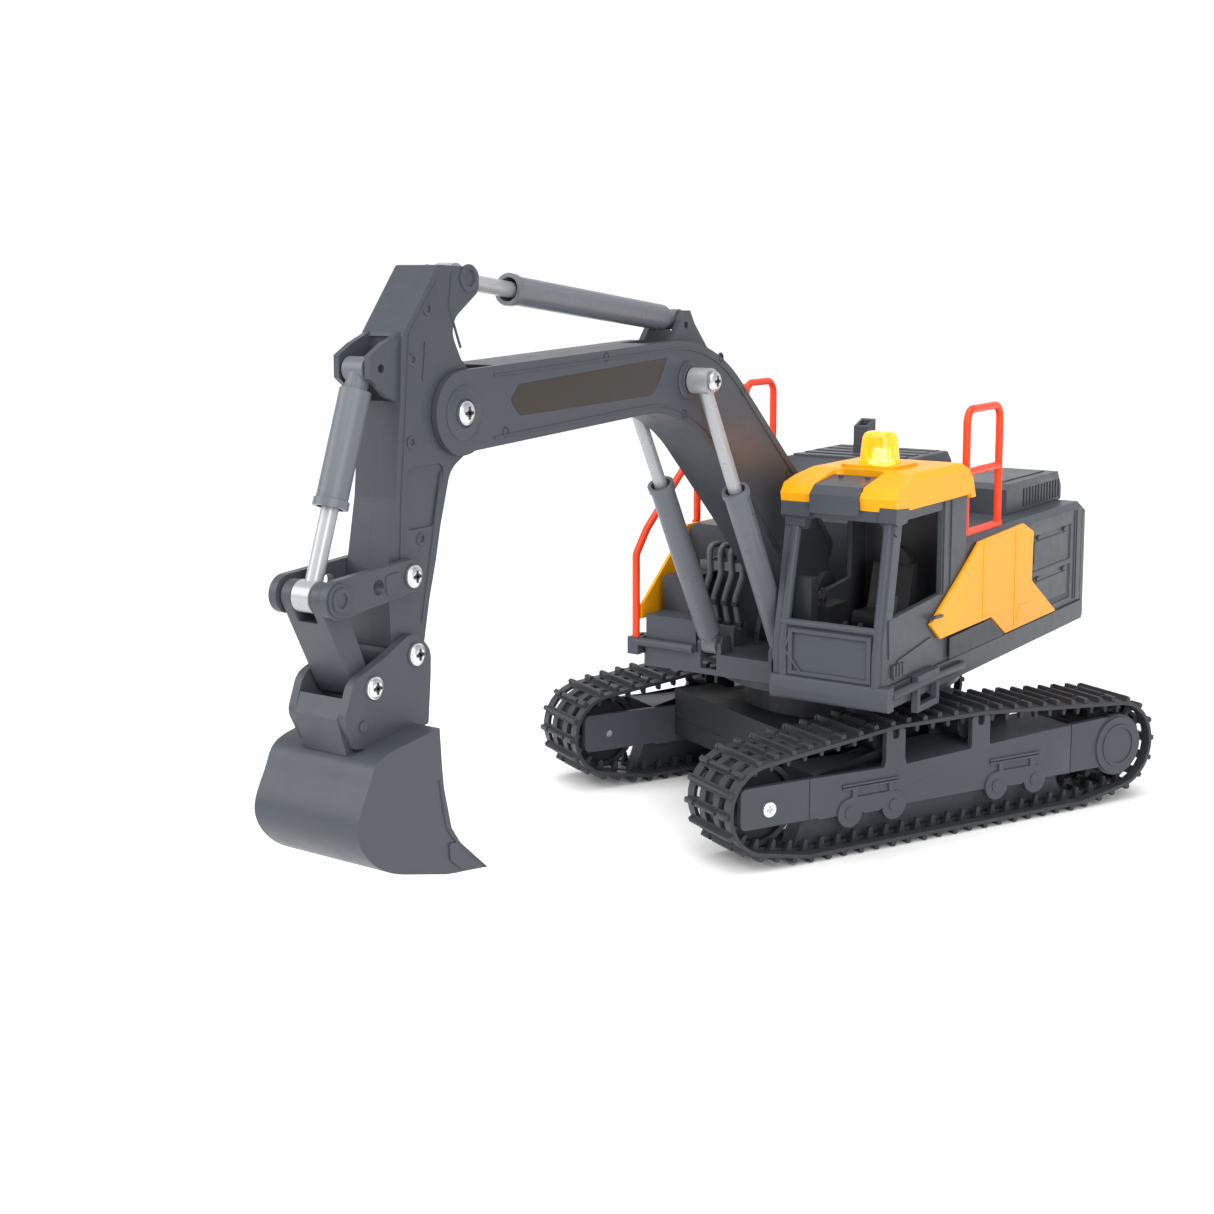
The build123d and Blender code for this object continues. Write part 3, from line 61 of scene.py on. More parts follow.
BOOM_Y = joint_point("boom_lift", UPPER).y
BOOM_FOOT = joint_point("boom_lift", UPPER)
BOOM_EYE = joint_point("boom_rod_pivot", UPPER)
STICK_PIVOT = joint_point("stick_swing", UPPER)
STICK_EYE = joint_point("stick_rod_pivot", UPPER)
BUCKET_PIVOT = joint_point("bucket_curl", UPPER)
ROCKER_PIVOT = joint_point("rocker_pivot", UPPER)
ROCKER_END = joint_point("push_link_pivot", UPPER)


# ---------------------------------------------------------------------------------------------------------
# Materials
# ---------------------------------------------------------------------------------------------------------
def plastic(name, color, roughness, grain=0.12, grain_size=0.45, mottle=0.05, metallic=0.0, specular=0.4):
    """Moulded plastic: fine tool grain, soft flow marks in colour and gloss, and a few faint rubs."""
    material = bpy.data.materials.new(name)
    material.use_nodes = True
    nodes, links = material.node_tree.nodes, material.node_tree.links
    shader = nodes["Principled BSDF"]
    shader.inputs["Metallic"].default_value = metallic
    shader.inputs["IOR"].default_value = 1.38
    shader.inputs["Specular IOR Level"].default_value = specular
    place = nodes.new("ShaderNodeTexCoord")

    flow = nodes.new("ShaderNodeTexNoise")
    flow.inputs["Scale"].default_value = 28
    flow.inputs["Detail"].default_value = 4
    links.new(place.outputs["Object"], flow.inputs["Vector"])
    tint = nodes.new("ShaderNodeMix")
    tint.data_type = "RGBA"
    dark = [channel * (1 - mottle) for channel in color]
    light = [min(1.0, channel * (1 + mottle) + 0.002) for channel in color]
    tint.inputs["A"].default_value = (*dark, 1)
    tint.inputs["B"].default_value = (*light, 1)
    links.new(flow.outputs["Fac"], tint.inputs["Factor"])
    links.new(tint.outputs["Result"], shader.inputs["Base Color"])

    rubs = nodes.new("ShaderNodeTexNoise")
    rubs.inputs["Scale"].default_value = 160
    rubs.inputs["Detail"].default_value = 6
    rubs.inputs["Roughness"].default_value = 0.65
    links.new(place.outputs["Object"], rubs.inputs["Vector"])
    gloss = nodes.new("ShaderNodeMapRange")
    gloss.inputs["From Min"].default_value = 0.3
    gloss.inputs["From Max"].default_value = 0.7
    gloss.inputs["To Min"].default_value = roughness - 0.05
    gloss.inputs["To Max"].default_value = roughness + 0.06
    links.new(rubs.outputs["Fac"], gloss.inputs["Value"])
    links.new(gloss.outputs["Result"], shader.inputs["Roughness"])

    texture = nodes.new("ShaderNodeTexNoise")
    texture.inputs["Scale"].default_value = 1000 / grain_size
    texture.inputs["Detail"].default_value = 2
    links.new(place.outputs["Object"], texture.inputs["Vector"])
    bump = nodes.new("ShaderNodeBump")
    bump.inputs["Strength"].default_value = grain
    bump.inputs["Distance"].default_value = 0.0002
    links.new(texture.outputs["Fac"], bump.inputs["Height"])
    links.new(bump.outputs["Normal"], shader.inputs["Normal"])
    return material


def metal(name, color, roughness, brush_scale=(900, 900, 60)):
    """Plated or drawn metal with fine lengthwise brushing."""
    material = bpy.data.materials.new(name)
    material.use_nodes = True
    nodes, links = material.node_tree.nodes, material.node_tree.links
    shader = nodes["Principled BSDF"]
    shader.inputs["Metallic"].default_value = 0.9
    place = nodes.new("ShaderNodeTexCoord")
    stretch = nodes.new("ShaderNodeMapping")
    stretch.inputs["Scale"].default_value = brush_scale
    links.new(place.outputs["Object"], stretch.inputs["Vector"])
    brush = nodes.new("ShaderNodeTexNoise")
    brush.inputs["Scale"].default_value = 1
    brush.inputs["Detail"].default_value = 3
    links.new(stretch.outputs["Vector"], brush.inputs["Vector"])
    tint = nodes.new("ShaderNodeMix")
    tint.data_type = "RGBA"
    tint.inputs["A"].default_value = (*[channel * 0.86 for channel in color], 1)
    tint.inputs["B"].default_value = (*color, 1)
    links.new(brush.outputs["Fac"], tint.inputs["Factor"])
    links.new(tint.outputs["Result"], shader.inputs["Base Color"])
    gloss = nodes.new("ShaderNodeMapRange")
    gloss.inputs["To Min"].default_value = roughness - 0.06
    gloss.inputs["To Max"].default_value = roughness + 0.08
    links.new(brush.outputs["Fac"], gloss.inputs["Value"])
    links.new(gloss.outputs["Result"], shader.inputs["Roughness"])
    return material


def amber():
    """Clear amber lens, lit from inside."""
    material = bpy.data.materials.new("amber_lens")
    material.use_nodes = True
    nodes, links = material.node_tree.nodes, material.node_tree.links
    shader = nodes["Principled BSDF"]
    shader.inputs["Roughness"].default_value = 0.08
    shader.inputs["IOR"].default_value = 1.49
    shader.inputs["Transmission Weight"].default_value = 0.55
    shader.inputs["Emission Color"].default_value = (1.0, 0.36, 0.01, 1)
    shader.inputs["Emission Strength"].default_value = 0.55
    place = nodes.new("ShaderNodeTexCoord")
    flow = nodes.new("ShaderNodeTexNoise")
    flow.inputs["Scale"].default_value = 220
    links.new(place.outputs["Object"], flow.inputs["Vector"])
    tint = nodes.new("ShaderNodeMix")
    tint.data_type = "RGBA"
    tint.inputs["A"].default_value = (1.0, 0.30, 0.004, 1)
    tint.inputs["B"].default_value = (1.0, 0.50, 0.03, 1)
    links.new(flow.outputs["Fac"], tint.inputs["Factor"])
    links.new(tint.outputs["Result"], shader.inputs["Base Color"])
    return material


def glowing(name, color, strength):
    """The lit lamp, a little uneven in brightness."""
    material = bpy.data.materials.new(name)
    material.use_nodes = True
    nodes, links = material.node_tree.nodes, material.node_tree.links
    shader = nodes["Principled BSDF"]
    shader.inputs["Emission Strength"].default_value = strength
    place = nodes.new("ShaderNodeTexCoord")
    flow = nodes.new("ShaderNodeTexNoise")
    flow.inputs["Scale"].default_value = 400
    links.new(place.outputs["Object"], flow.inputs["Vector"])
    tint = nodes.new("ShaderNodeMix")
    tint.data_type = "RGBA"
    tint.inputs["A"].default_value = (*color, 1)
    tint.inputs["B"].default_value = (1.0, 0.95, 0.75, 1)
    links.new(flow.outputs["Fac"], tint.inputs["Factor"])
    links.new(tint.outputs["Result"], shader.inputs["Emission Color"])
    links.new(tint.outputs["Result"], shader.inputs["Base Color"])
    return material


CHARCOAL = plastic("charcoal_plastic", (0.052, 0.058, 0.070), 0.38)
DARK = plastic("charcoal_dark", (0.030, 0.033, 0.040), 0.42)
# This black also serves as painted shade: the chassis shells, the screw wells and the crosses on the screw heads
# are coloured with it where there is only shade.
BLACK_AND_PAINTED_SHADE = plastic("black_plastic", (0.022, 0.023, 0.026), 0.45)
TRACK = plastic("track_plastic", (0.036, 0.038, 0.044), 0.40, grain=0.2, grain_size=0.7)
YELLOW = plastic("yellow_plastic", (0.87, 0.36, 0.004), 0.34, mottle=0.03, specular=0.3)
RED = plastic("red_plastic", (0.86, 0.055, 0.012), 0.30, mottle=0.03)
SILVER = plastic("silver_rod", (0.36, 0.37, 0.385), 0.30, grain=0.05, metallic=0.35)
SCREW = metal("screw_steel", (0.72, 0.74, 0.77), 0.28)
LABEL = plastic("label_film", (0.030, 0.024, 0.019), 0.16, grain=0.03)
NYLON = plastic("gear_nylon", (0.72, 0.70, 0.62), 0.45)
MOTOR = metal("motor_case", (0.55, 0.55, 0.56), 0.35)
BOARD = plastic("circuit_green", (0.02, 0.16, 0.06), 0.3)
CELL = plastic("cell_jacket", (0.09, 0.09, 0.11), 0.25)
AMBER = amber()
LAMP = glowing("lamp_white", (1.0, 0.72, 0.25), 9)
# A lighter copy of the charcoal plastic: painted highlight along the cylinder barrels.
BARREL_HIGHLIGHT = plastic("barrel_painted_highlight", (0.115, 0.124, 0.142), 0.30)
# Charcoal made lighter as painted highlight on the hoses; its lower roughness is real gloss.
HOSE = plastic("hose_plastic_painted_highlight", (0.085, 0.09, 0.10), 0.22)

SLOT_MATERIAL = {"charcoal_plastic": CHARCOAL, "yellow_plastic": YELLOW, "red_plastic": RED,
                 "black_plastic": BLACK_AND_PAINTED_SHADE, "track_plastic": TRACK, "silver_rod": SILVER, "screw_steel": SCREW,
                 "amber_lens": AMBER, "lamp_white": LAMP, "gear_nylon": NYLON, "motor_case": MOTOR,
                 "circuit_green": BOARD, "cell_jacket": CELL}
NODE_SLOT = {entry["node"]: entry["material_slot"] for entry in frame["record"]["subparts"]}
BODIES = frame["record"]["behaviour"]["bodies"]
NODE_BODY = {node: body for body, members in BODIES.items() for node in members}


# ---------------------------------------------------------------------------------------------------------
# Mesh building, in millimetres
# ---------------------------------------------------------------------------------------------------------
def side_point(x, z, y):
    return Vector((x, y, z))


def plan_point(x, y, z):
    return Vector((x, y, z))


def extrude_outline(mesh, outline, start, end, point=side_point):
    """A closed prism over an outline; point() says which way it faces. start and end are its two depths."""
    low = [mesh.verts.new(point(a, b, start)) for a, b in outline]
    high = [mesh.verts.new(point(a, b, end)) for a, b in outline]
    count = len(outline)
    faces = [mesh.faces.new(low), mesh.faces.new(high[::-1])]
    for k in range(count):
        faces.append(mesh.faces.new((low[k], high[k], high[(k + 1) % count], low[(k + 1) % count])))
    return faces


def box(mesh, low, high):
    extrude_outline(mesh, [(low[0], low[1]), (high[0], low[1]), (high[0], high[1]), (low[0], high[1])],
                    low[2], high[2], plan_point)


def ring_outline(centre, radius, steps=32, start=0.0, end=2 * pi):
    """Points round a circle, or along an arc when start and end are given."""
    whole = abs(end - start - 2 * pi) < 1e-6
    count = steps if whole else steps + 1
    return [(centre[0] + radius * cos(start + (end - start) * k / steps),
             centre[1] + radius * sin(start + (end - start) * k / steps)) for k in range(count)]


def round_corners(points, radii, steps=6):
    """The outline with each corner replaced by an arc of its radius."""
    outline = []
    count = len(points)
    for k in range(count):
        corner = Vector(points[k])
        before, after = Vector(points[k - 1]), Vector(points[(k + 1) % count])
        radius = radii[k] if isinstance(radii, (list, tuple)) else radii
        to_before, to_after = (before - corner).normalized(), (after - corner).normalized()
        half = acos(max(-1, min(1, to_before.dot(to_after)))) / 2
        if radius <= 0 or abs(half - pi / 2) < 1e-3:
            outline.append((corner.x, corner.y))
            continue
        reach = radius / abs(sin(half) / cos(half))
        middle = corner + (to_before + to_after).normalized() * radius / sin(half)
        first, last = corner + to_before * reach - middle, corner + to_after * reach - middle
        turn = atan2(first.x * last.y - first.y * last.x, first.dot(last))
        base = atan2(first.y, first.x)
        for s in range(steps + 1):
            angle = base + turn * s / steps
            outline.append((middle.x + radius * cos(angle), middle.y + radius * sin(angle)))
    return outline


def turned(mesh, start, direction, profile, steps=40):
    """A turned shape: profile gives (distance along the direction, radius) from one end to the other."""
    direction = Vector(direction).normalized()
    aside = direction.orthogonal().normalized()
    across = direction.cross(aside)
    rings = []
    for distance, radius in profile:
        centre = Vector(start) + direction * distance
        reach = max(radius, 0.01)
        angles = [2 * pi * k / steps for k in range(steps)]
        rings.append([mesh.verts.new(centre + (aside * cos(a) + across * sin(a)) * reach) for a in angles])
    for ring, after in zip(rings, rings[1:]):
        for k in range(steps):
            mesh.faces.new((ring[k], ring[(k + 1) % steps], after[(k + 1) % steps], after[k]))
    mesh.faces.new(rings[0][::-1])
    mesh.faces.new(rings[-1])


def tube(mesh, points, radius, sides=14):
    """A round bar along points."""
    points = [Vector(point) for point in points]
    rings = []
    normal = None
    for k, point in enumerate(points):
        ahead = points[min(k + 1, len(points) - 1)] - points[max(k - 1, 0)]
        ahead.normalize()
        if normal is None:
            normal = ahead.orthogonal().normalized()
        normal = (normal - ahead * normal.dot(ahead)).normalized()
        across = ahead.cross(normal)
        angles = [2 * pi * s / sides for s in range(sides)]
        rings.append([mesh.verts.new(point + (normal * cos(a) + across * sin(a)) * radius) for a in angles])
    for ring, after in zip(rings, rings[1:]):
        for s in range(sides):
            mesh.faces.new((ring[s], ring[(s + 1) % sides], after[(s + 1) % sides], after[s]))
    mesh.faces.new(rings[0][::-1])
    mesh.faces.new(rings[-1])


def screw_head(mesh, centre, direction, radius, height=1.2):
    """A domed pan head with a cross recess, seated on a washer face."""
    direction = Vector(direction).normalized()
    turned(mesh, centre, direction, [(0, radius), (height * 0.45, radius), (height * 0.8, radius * 0.86),
                                     (height, radius * 0.55), (height * 0.98, radius * 0.42),
                                     (height * 0.45, radius * 0.36), (height * 0.42, 0.01)], steps=28)


def finish_piece(mesh, name, place, body, material, replaced=(), bevel=0.0, segments=2, smooth=32):
    """Makes an object of a mesh in millimetres: its edges, finish, body and the nodes it replaces."""
    bmesh.ops.recalc_face_normals(mesh, faces=mesh.faces)
    mesh.transform(place)
    data = bpy.data.meshes.new(name)
    mesh.to_mesh(data)
    mesh.free()
    return finish_object(data, name, body, material, replaced, bevel, segments, smooth)


def finish_object(data, name, body, material, replaced=(), bevel=0.0, segments=2, smooth=32):
    for polygon in data.polygons:
        polygon.use_smooth = True
    data.set_sharp_from_angle(angle=radians(smooth))
    piece = bpy.data.objects.new(name, data)
    bpy.context.scene.collection.objects.link(piece)
    for entry in (material if isinstance(material, (list, tuple)) else [material]):
        data.materials.append(entry)
    if bevel:
        edges = piece.modifiers.new("edges", "BEVEL")
        edges.width = bevel * MM
        edges.segments = segments
        edges.limit_method = "ANGLE"
        edges.angle_limit = radians(30)
        edges.harden_normals = True
        edges.use_clamp_overlap = True
    if replaced:
        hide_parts(*replaced)
    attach(piece, body)
    return piece


def cad_mesh(node):
    """A copy of a CAD node's mesh in metres with its flat faces merged, ready for soft edges."""
    mesh = bmesh.new()
    mesh.from_mesh(frame["nodes"][node].data)
    bmesh.ops.remove_doubles(mesh, verts=mesh.verts, dist=1e-6)
    bmesh.ops.dissolve_limit(mesh, angle_limit=radians(0.6), verts=mesh.verts, edges=mesh.edges)
    return mesh


def refine(node, bevel, place, material=None):
    """Replaces a CAD node with its own shape, given soft edges. It goes through its drawing frame."""
    mesh = cad_mesh(node)
    mesh.transform(place.inverted())
    mesh.normal_update()
    mesh.transform(place)
    data = bpy.data.meshes.new(node + "_shape")
    mesh.to_mesh(data)
    mesh.free()
    slot = NODE_SLOT[node]
    return finish_object(data, node + "_shape", NODE_BODY[node], material or SLOT_MATERIAL[slot],
                         (node,), bevel)


# ---------------------------------------------------------------------------------------------------------
# Track belts
# ---------------------------------------------------------------------------------------------------------
TRACK_Y = abs(joint_point("left_track_drive", LOWER).y)
BELT_HALF = 18.5
PITCHES = 60
TIP = 2.7                   # height of a cross bar
BAND = 2.0                  # thickness of the band
LUG = 5.0                   # height of a guide horn
LUG_Y = 10.8
BAR_SHARE = 0.46            # share of each pitch that is solid right across
IDLER_RADIUS, ROLLER_RADIUS, SPROCKET_RADIUS, END_RADIUS = 25, 12, 26, 10   # out to the bars' tips
GROUND_ENDS = (-88, 84)     # where the run on the ground ends


def belt_circles():
    """The circles that the belt's bar tips run round: idler, rollers, sprocket and the two ground ends."""
    idler, sprocket = joint_point("left_idler_spin", LOWER), joint_point("left_track_drive", LOWER)
    front, rear = joint_point("left_front_roller_spin", LOWER), joint_point("left_rear_roller_spin", LOWER)
    return [((idler.x, idler.z), IDLER_RADIUS), ((front.x, front.z), ROLLER_RADIUS),
            ((rear.x, rear.z), ROLLER_RADIUS), ((sprocket.x, sprocket.z), SPROCKET_RADIUS),
            *(((x, END_RADIUS), END_RADIUS) for x in GROUND_ENDS)]


def belt_contour(inset):
    """Points and outward normals at fine steps round the belt, inset from the bar tips."""
    circles = belt_circles()
    normals = []
    for (first, r1), (second, r2) in zip(circles, circles[1:] + circles[:1]):
        run = Vector(second) - Vector(first)
        normals.append(atan2(run.y, run.x) - acos((r1 - r2) / run.length))
    stations = []
    for k, (centre, radius) in enumerate(circles):
        begin, end = normals[k - 1], normals[k]
        while end < begin:
            end += 2 * pi
        steps = max(2, int((end - begin) / radians(3)))
        for s in range(steps + 1):
            angle = begin + (end - begin) * s / steps
            normal = Vector((cos(angle), sin(angle)))
            stations.append((Vector(centre) + normal * (radius - inset), normal))
    return stations


def belt_station(contour, lengths, distance):
    """The point and normal at a distance along the contour."""
    total = lengths[-1]
    distance %= total
    k = 0
    while lengths[k + 1] < distance:
        k += 1
    share = (distance - lengths[k]) / max(lengths[k + 1] - lengths[k], 1e-9)
    first, second = contour[k], contour[(k + 1) % len(contour)]
    return first[0].lerp(second[0], share), first[1].lerp(second[1], share).normalized()


def belt_columns():
    """Across the belt: where its rails and windows begin and end, and whether each strip is solid."""
    edges = [-BELT_HALF, -12.9, -8.4, -3.4, 3.4, 8.4, 12.9, BELT_HALF]
    solid = [True, False, True, False, True, False, True]
    return edges, solid


def belt_mesh(sign):
    contour = belt_contour(TIP + BAND / 2)
    lengths = [0.0]
    for k in range(len(contour)):
        lengths.append(lengths[-1] + (contour[(k + 1) % len(contour)][0] - contour[k][0]).length)
    pitch = lengths[-1] / PITCHES
    mesh = bmesh.new()
    edges, solid = belt_columns()
    cuts = (0.0, BAR_SHARE, 0.57, 0.68, 0.79, 0.90)   # each pitch is solid up to the second of these shares
    rows = PITCHES * len(cuts)
    turns = [n // len(cuts) + cuts[n % len(cuts)] - BAR_SHARE / 2 for n in range(rows)]
    stations = [belt_station(contour, lengths, turn * pitch) for turn in turns]

    def row_is_bar(n):
        return n % len(cuts) == 0

    vertex = {}

    def corner(n, c, outside):
        key = (n % rows, c, outside)
        if key not in vertex:
            point, normal = stations[n % rows]
            spot = point + normal * (BAND / 2 if outside else -BAND / 2)
            vertex[key] = mesh.verts.new((spot.x, sign * TRACK_Y + edges[c], spot.y))
        return vertex[key]

    def filled(n, c):
        if c < 0 or c >= len(solid):
            return False
        return solid[c] or row_is_bar(n % rows)

    def face(*places):
        mesh.faces.new([corner(*spot) for spot in places])

    def wall(first, second):
        face((*first, True), (*first, False), (*second, False), (*second, True))

    for n in range(rows):
        for c in range(len(solid)):
            if not filled(n, c):
                continue
            face((n, c, True), (n + 1, c, True), (n + 1, c + 1, True), (n, c + 1, True))
            face((n, c + 1, False), (n + 1, c + 1, False), (n + 1, c, False), (n, c, False))
            if not filled(n, c - 1):
                wall((n, c), (n + 1, c))
            if not filled(n, c + 1):
                wall((n + 1, c + 1), (n, c + 1))
            if not filled(n - 1, c):
                wall((n, c + 1), (n, c))
            if not filled(n + 1, c):
                wall((n + 1, c), (n + 1, c + 1))
    for number in range(PITCHES):
        point, normal = belt_station(contour, lengths, number * pitch)
        along = Vector((-normal.y, normal.x))
        belt_bar(mesh, sign, point, normal, along, number % 2 == 0)
        for lug_y in (-LUG_Y, LUG_Y):
            belt_lug(mesh, sign, point, normal, along, lug_y)
    return mesh


def belt_block(mesh, sign, point, normal, along, y_low, y_high, depths):
    """A bar across the belt; depths are (height from the band's middle, half its length along the belt)."""
    rings = []
    for y in (y_low, y_high):
        ring = []
        for height, half in depths:
            spot = point + normal * height - along * half
            ring.append(mesh.verts.new((spot.x, sign * TRACK_Y + y, spot.y)))
        for height, half in depths[::-1]:
            spot = point + normal * height + along * half
            ring.append(mesh.verts.new((spot.x, sign * TRACK_Y + y, spot.y)))
        rings.append(ring)
    count = len(rings[0])
    mesh.faces.new(rings[0])
    mesh.faces.new(rings[1][::-1])
    for k in range(count):
        mesh.faces.new((rings[0][k], rings[1][k], rings[1][(k + 1) % count], rings[0][(k + 1) % count]))


def belt_bar(mesh, sign, point, normal, along, whole):
    """A cross bar: every other one is broken into a middle and two ends."""
    top = BAND / 2 + TIP
    pad = [(0.4, 1.6), (top - 0.6, 1.3), (top - 0.15, 0.9)]
    cap = [(0.4, 1.5), (top - 0.9, 1.3), (top - 0.4, 0.8)]
    blade = [(0.4, 1.3), (BAND / 2 + 0.7, 1.0), (top - 0.4, 0.85), (top, 0.5)]
    low_blade = [(0.4, 1.1), (BAND / 2 + 0.9, 0.8), (BAND / 2 + 1.3, 0.5)]
    if whole:
        belt_block(mesh, sign, point, normal, along, -17.2, 17.2, blade)
        for end in (-17.2, 17.2):
            belt_block(mesh, sign, point, normal, along, end - 0.9, end + 0.9, cap)
    else:
        belt_block(mesh, sign, point, normal, along, -8.2, 8.2, blade)
        belt_block(mesh, sign, point, normal, along, -16.8, 16.8, low_blade)
        for low, high in ((-17.4, -10.6), (10.6, 17.4)):
            belt_block(mesh, sign, point, normal, along, low, high, pad)


def belt_lug(mesh, sign, point, normal, along, y):
    """A guide horn on the inside of the belt."""
    belt_block(mesh, sign, point, -normal, along, y - 1.3, y + 1.3,
               [(0.4, 2.0), (BAND / 2 + 0.6, 1.6), (BAND / 2 + LUG - 0.6, 1.0), (BAND / 2 + LUG, 0.5)])


for side_name, sign in (("left", 1), ("right", -1)):
    belt = f"{side_name}_track_belt"
    finish_piece(belt_mesh(sign), belt + "_detail", LOWER, "chassis", TRACK, (belt,),
                 bevel=0.22, segments=1, smooth=40)

# ---------------------------------------------------------------------------------------------------------
# Dressing of the CAD shapes
# ---------------------------------------------------------------------------------------------------------
def smooth_line(points, radii, steps=14):
    """An open line with its inner corners rounded."""
    line = [Vector(points[0])]
    for before, corner, after, radius in zip(points, points[1:], points[2:], radii):
        line += [Vector(p) for p in round_corners([before, corner, after], [0, radius, 0], steps)[1:-1]]
    return line + [Vector(points[-1])]


def bead(mesh, line, inset, width, y_face, out, height):
    """A low raised bead along a line of (x, z) points, inset to the line's left."""
    left, right = [], []
    for k, point in enumerate(line):
        ahead = (line[min(k + 1, len(line) - 1)] - line[max(k - 1, 0)]).normalized()
        normal = Vector((-ahead.y, ahead.x))
        left.append(point + normal * (inset + width))
        right.append(point + normal * inset)
    low, high = y_face - out * 0.2, y_face + out * height
    rows = [[mesh.verts.new((p.x, y, p.y)) for p in side] for y, side in
            ((low, right), (high, [a.lerp(b, 0.2) for a, b in zip(right, left)]),
             (high, [a.lerp(b, 0.8) for a, b in zip(right, left)]), (low, left))]
    for first, second in zip(rows, rows[1:]):
        for k in range(len(line) - 1):
            mesh.faces.new((first[k], first[k + 1], second[k + 1], second[k]))
    for k in (0, len(line) - 1):
        mesh.faces.new([row[k] for row in rows])


def cross_recess_shade(mesh, centre, out, radius):
    """A dark cross on a screw's head: painted shade where the cross recess lies in shade."""
    x, y, z = centre
    for long_x, long_z in ((radius * 0.62, radius * 0.16), (radius * 0.16, radius * 0.62)):
        low, high = sorted((y, y + out * 0.12))
        box(mesh, (x - long_x, low, z - long_z), (x + long_x, high, z + long_z))


def bolt_heads(name, body, places, radius):
    """Domed screw heads over a body's pins; places are (x, y, z, outward sign)."""
    heads, recess_shades = bmesh.new(), bmesh.new()
    for x, y, z, out in places:
        screw_head(heads, (x, y, z), (0, out, 0), radius)
        cross_recess_shade(recess_shades, (x, y + out * 1.12, z), out, radius)
    finish_piece(heads, name, UPPER, body, SCREW, (), smooth=40)
    # The crosses are painted shade: dark sheets laid on the heads where the recesses' shade falls.
    finish_piece(recess_shades, name + "_recess", UPPER, body, BLACK_AND_PAINTED_SHADE, ())


def plate(mesh, outline, y_face, out, thick):
    """A thin flat plate on an upright lengthwise face."""
    low, high = sorted((y_face, y_face + out * thick))
    extrude_outline(mesh, outline, low, high)


# Boom: blank name plate, screw wells coloured black as painted shade in their holes, and the eye's collars.
NAME_PLATE = round_corners([(286, 226), (280.5, 232), (172, 238), (183, 222), (280, 219.6)],
                           [1.5, 4, 0.5, 9, 4])
WELL_PROFILE = [(0, 2.3), (0.5, 2.3), (0.75, 2.0), (0.75, 1.5), (0.3, 1.3)]
SCREW_WELLS = ((220, 240), (289, 214), (158, 212), (106, 219), (60, 176), (126, 236), (60, 136))
# Half widths across the arm, and how far out its cylinders and the rocker's ears reach.
BOOM_HALF, STICK_HALF, BUCKET_HALF, CYLINDER_OFFSET, EAR_OUT = 13.0, 10.0, 25.0, 20.5, 13.8
labels, well_shades = bmesh.new(), bmesh.new()
for out in (1, -1):
    face = BOOM_Y + out * BOOM_HALF
    plate(labels, NAME_PLATE, face - out * 0.5, out, 0.62)
    for x, z in SCREW_WELLS:
        turned(well_shades, (x, face - out * 0.6, z), (0, out, 0), WELL_PROFILE, 20)
finish_piece(labels, "boom_name_plates", UPPER, "boom", LABEL, (), bevel=0.15)
# The wells are coloured black as painted shade in the screw holes.
finish_piece(well_shades, "boom_screw_well_shades", UPPER, "boom", BLACK_AND_PAINTED_SHADE, ())

# Raised beads that follow the edges of the boom, the stick and the bucket's cheeks.
BOOM_TOP_EDGE = smooth_line([(296, 239.7), (133.4, 246.2), (48, 174), (14, 139)], [88, 20])
BOOM_LOW_EDGE = smooth_line([(37, 104), (86, 152), (157, 215.5), (296, 208.8)], [40, 84])
STICK_BACK_EDGE = smooth_line([(320, 275.5), (322, 262), (315, 246)], [6])
STICK_FRONT_EDGE = smooth_line([(352, 158), (350, 194), (346.5, 230), (344.5, 254), (327, 275)],
                               [12, 10, 8])
STICK_REAR_EDGE = smooth_line([(321.5, 201), (326, 182), (329, 168), (334, 146)], [20, 20])
BUCKET_CHEEK = smooth_line([(343, 92), (339.5, 74), (333, 66)], [12])
boom_beads, stick_beads, bucket_beads = bmesh.new(), bmesh.new(), bmesh.new()
for out in (1, -1):
    for line in (BOOM_TOP_EDGE, BOOM_LOW_EDGE):
        bead(boom_beads, line, 3.0, 1.1, BOOM_Y + out * BOOM_HALF, out, 0.45)
    for line in (STICK_FRONT_EDGE, STICK_BACK_EDGE[::-1]):
        bead(stick_beads, line, 2.6, 1.0, BOOM_Y + out * STICK_HALF, out, 0.4)
    bead(stick_beads, STICK_REAR_EDGE, 2.4, 1.0, BOOM_Y + out * STICK_HALF, out, 0.4)
    bead(bucket_beads, BUCKET_CHEEK[::-1], -3.4, 1.2, BOOM_Y + out * BUCKET_HALF, out, 0.5)
finish_piece(boom_beads, "boom_beads", UPPER, "boom", CHARCOAL, (), smooth=50)
finish_piece(stick_beads, "stick_beads", UPPER, "stick", CHARCOAL, (), smooth=50)
finish_piece(bucket_beads, "bucket_beads", UPPER, "bucket", CHARCOAL, (), smooth=50)

collars = bmesh.new()
for out in (1, -1):
    turned(collars, (BOOM_EYE.x, BOOM_Y + out * (BOOM_HALF - 0.4), BOOM_EYE.z), (0, out, 0),
           [(0, 8.6), (0.9, 8.6), (1.4, 8.0), (1.4, 6.2), (2.2, 5.9), (2.2, 3.4)], 44)
    turned(collars, (BOOM_FOOT.x, BOOM_Y + out * (BOOM_HALF - 0.4), BOOM_FOOT.z), (0, out, 0),
           [(0, 11), (0.55, 11), (0.65, 10.6), (0.65, 6)], 44)
    turned(collars, (STICK_PIVOT.x, BOOM_Y + out * (BOOM_HALF - 0.6), STICK_PIVOT.z), (0, out, 0),
           [(0, 10.4), (0.8, 10.4), (1.1, 10.0), (1.1, 5.6), (0.2, 5.4), (0.2, 4.2)], 44)
finish_piece(collars, "boom_bosses", UPPER, "boom", CHARCOAL, (), smooth=40)

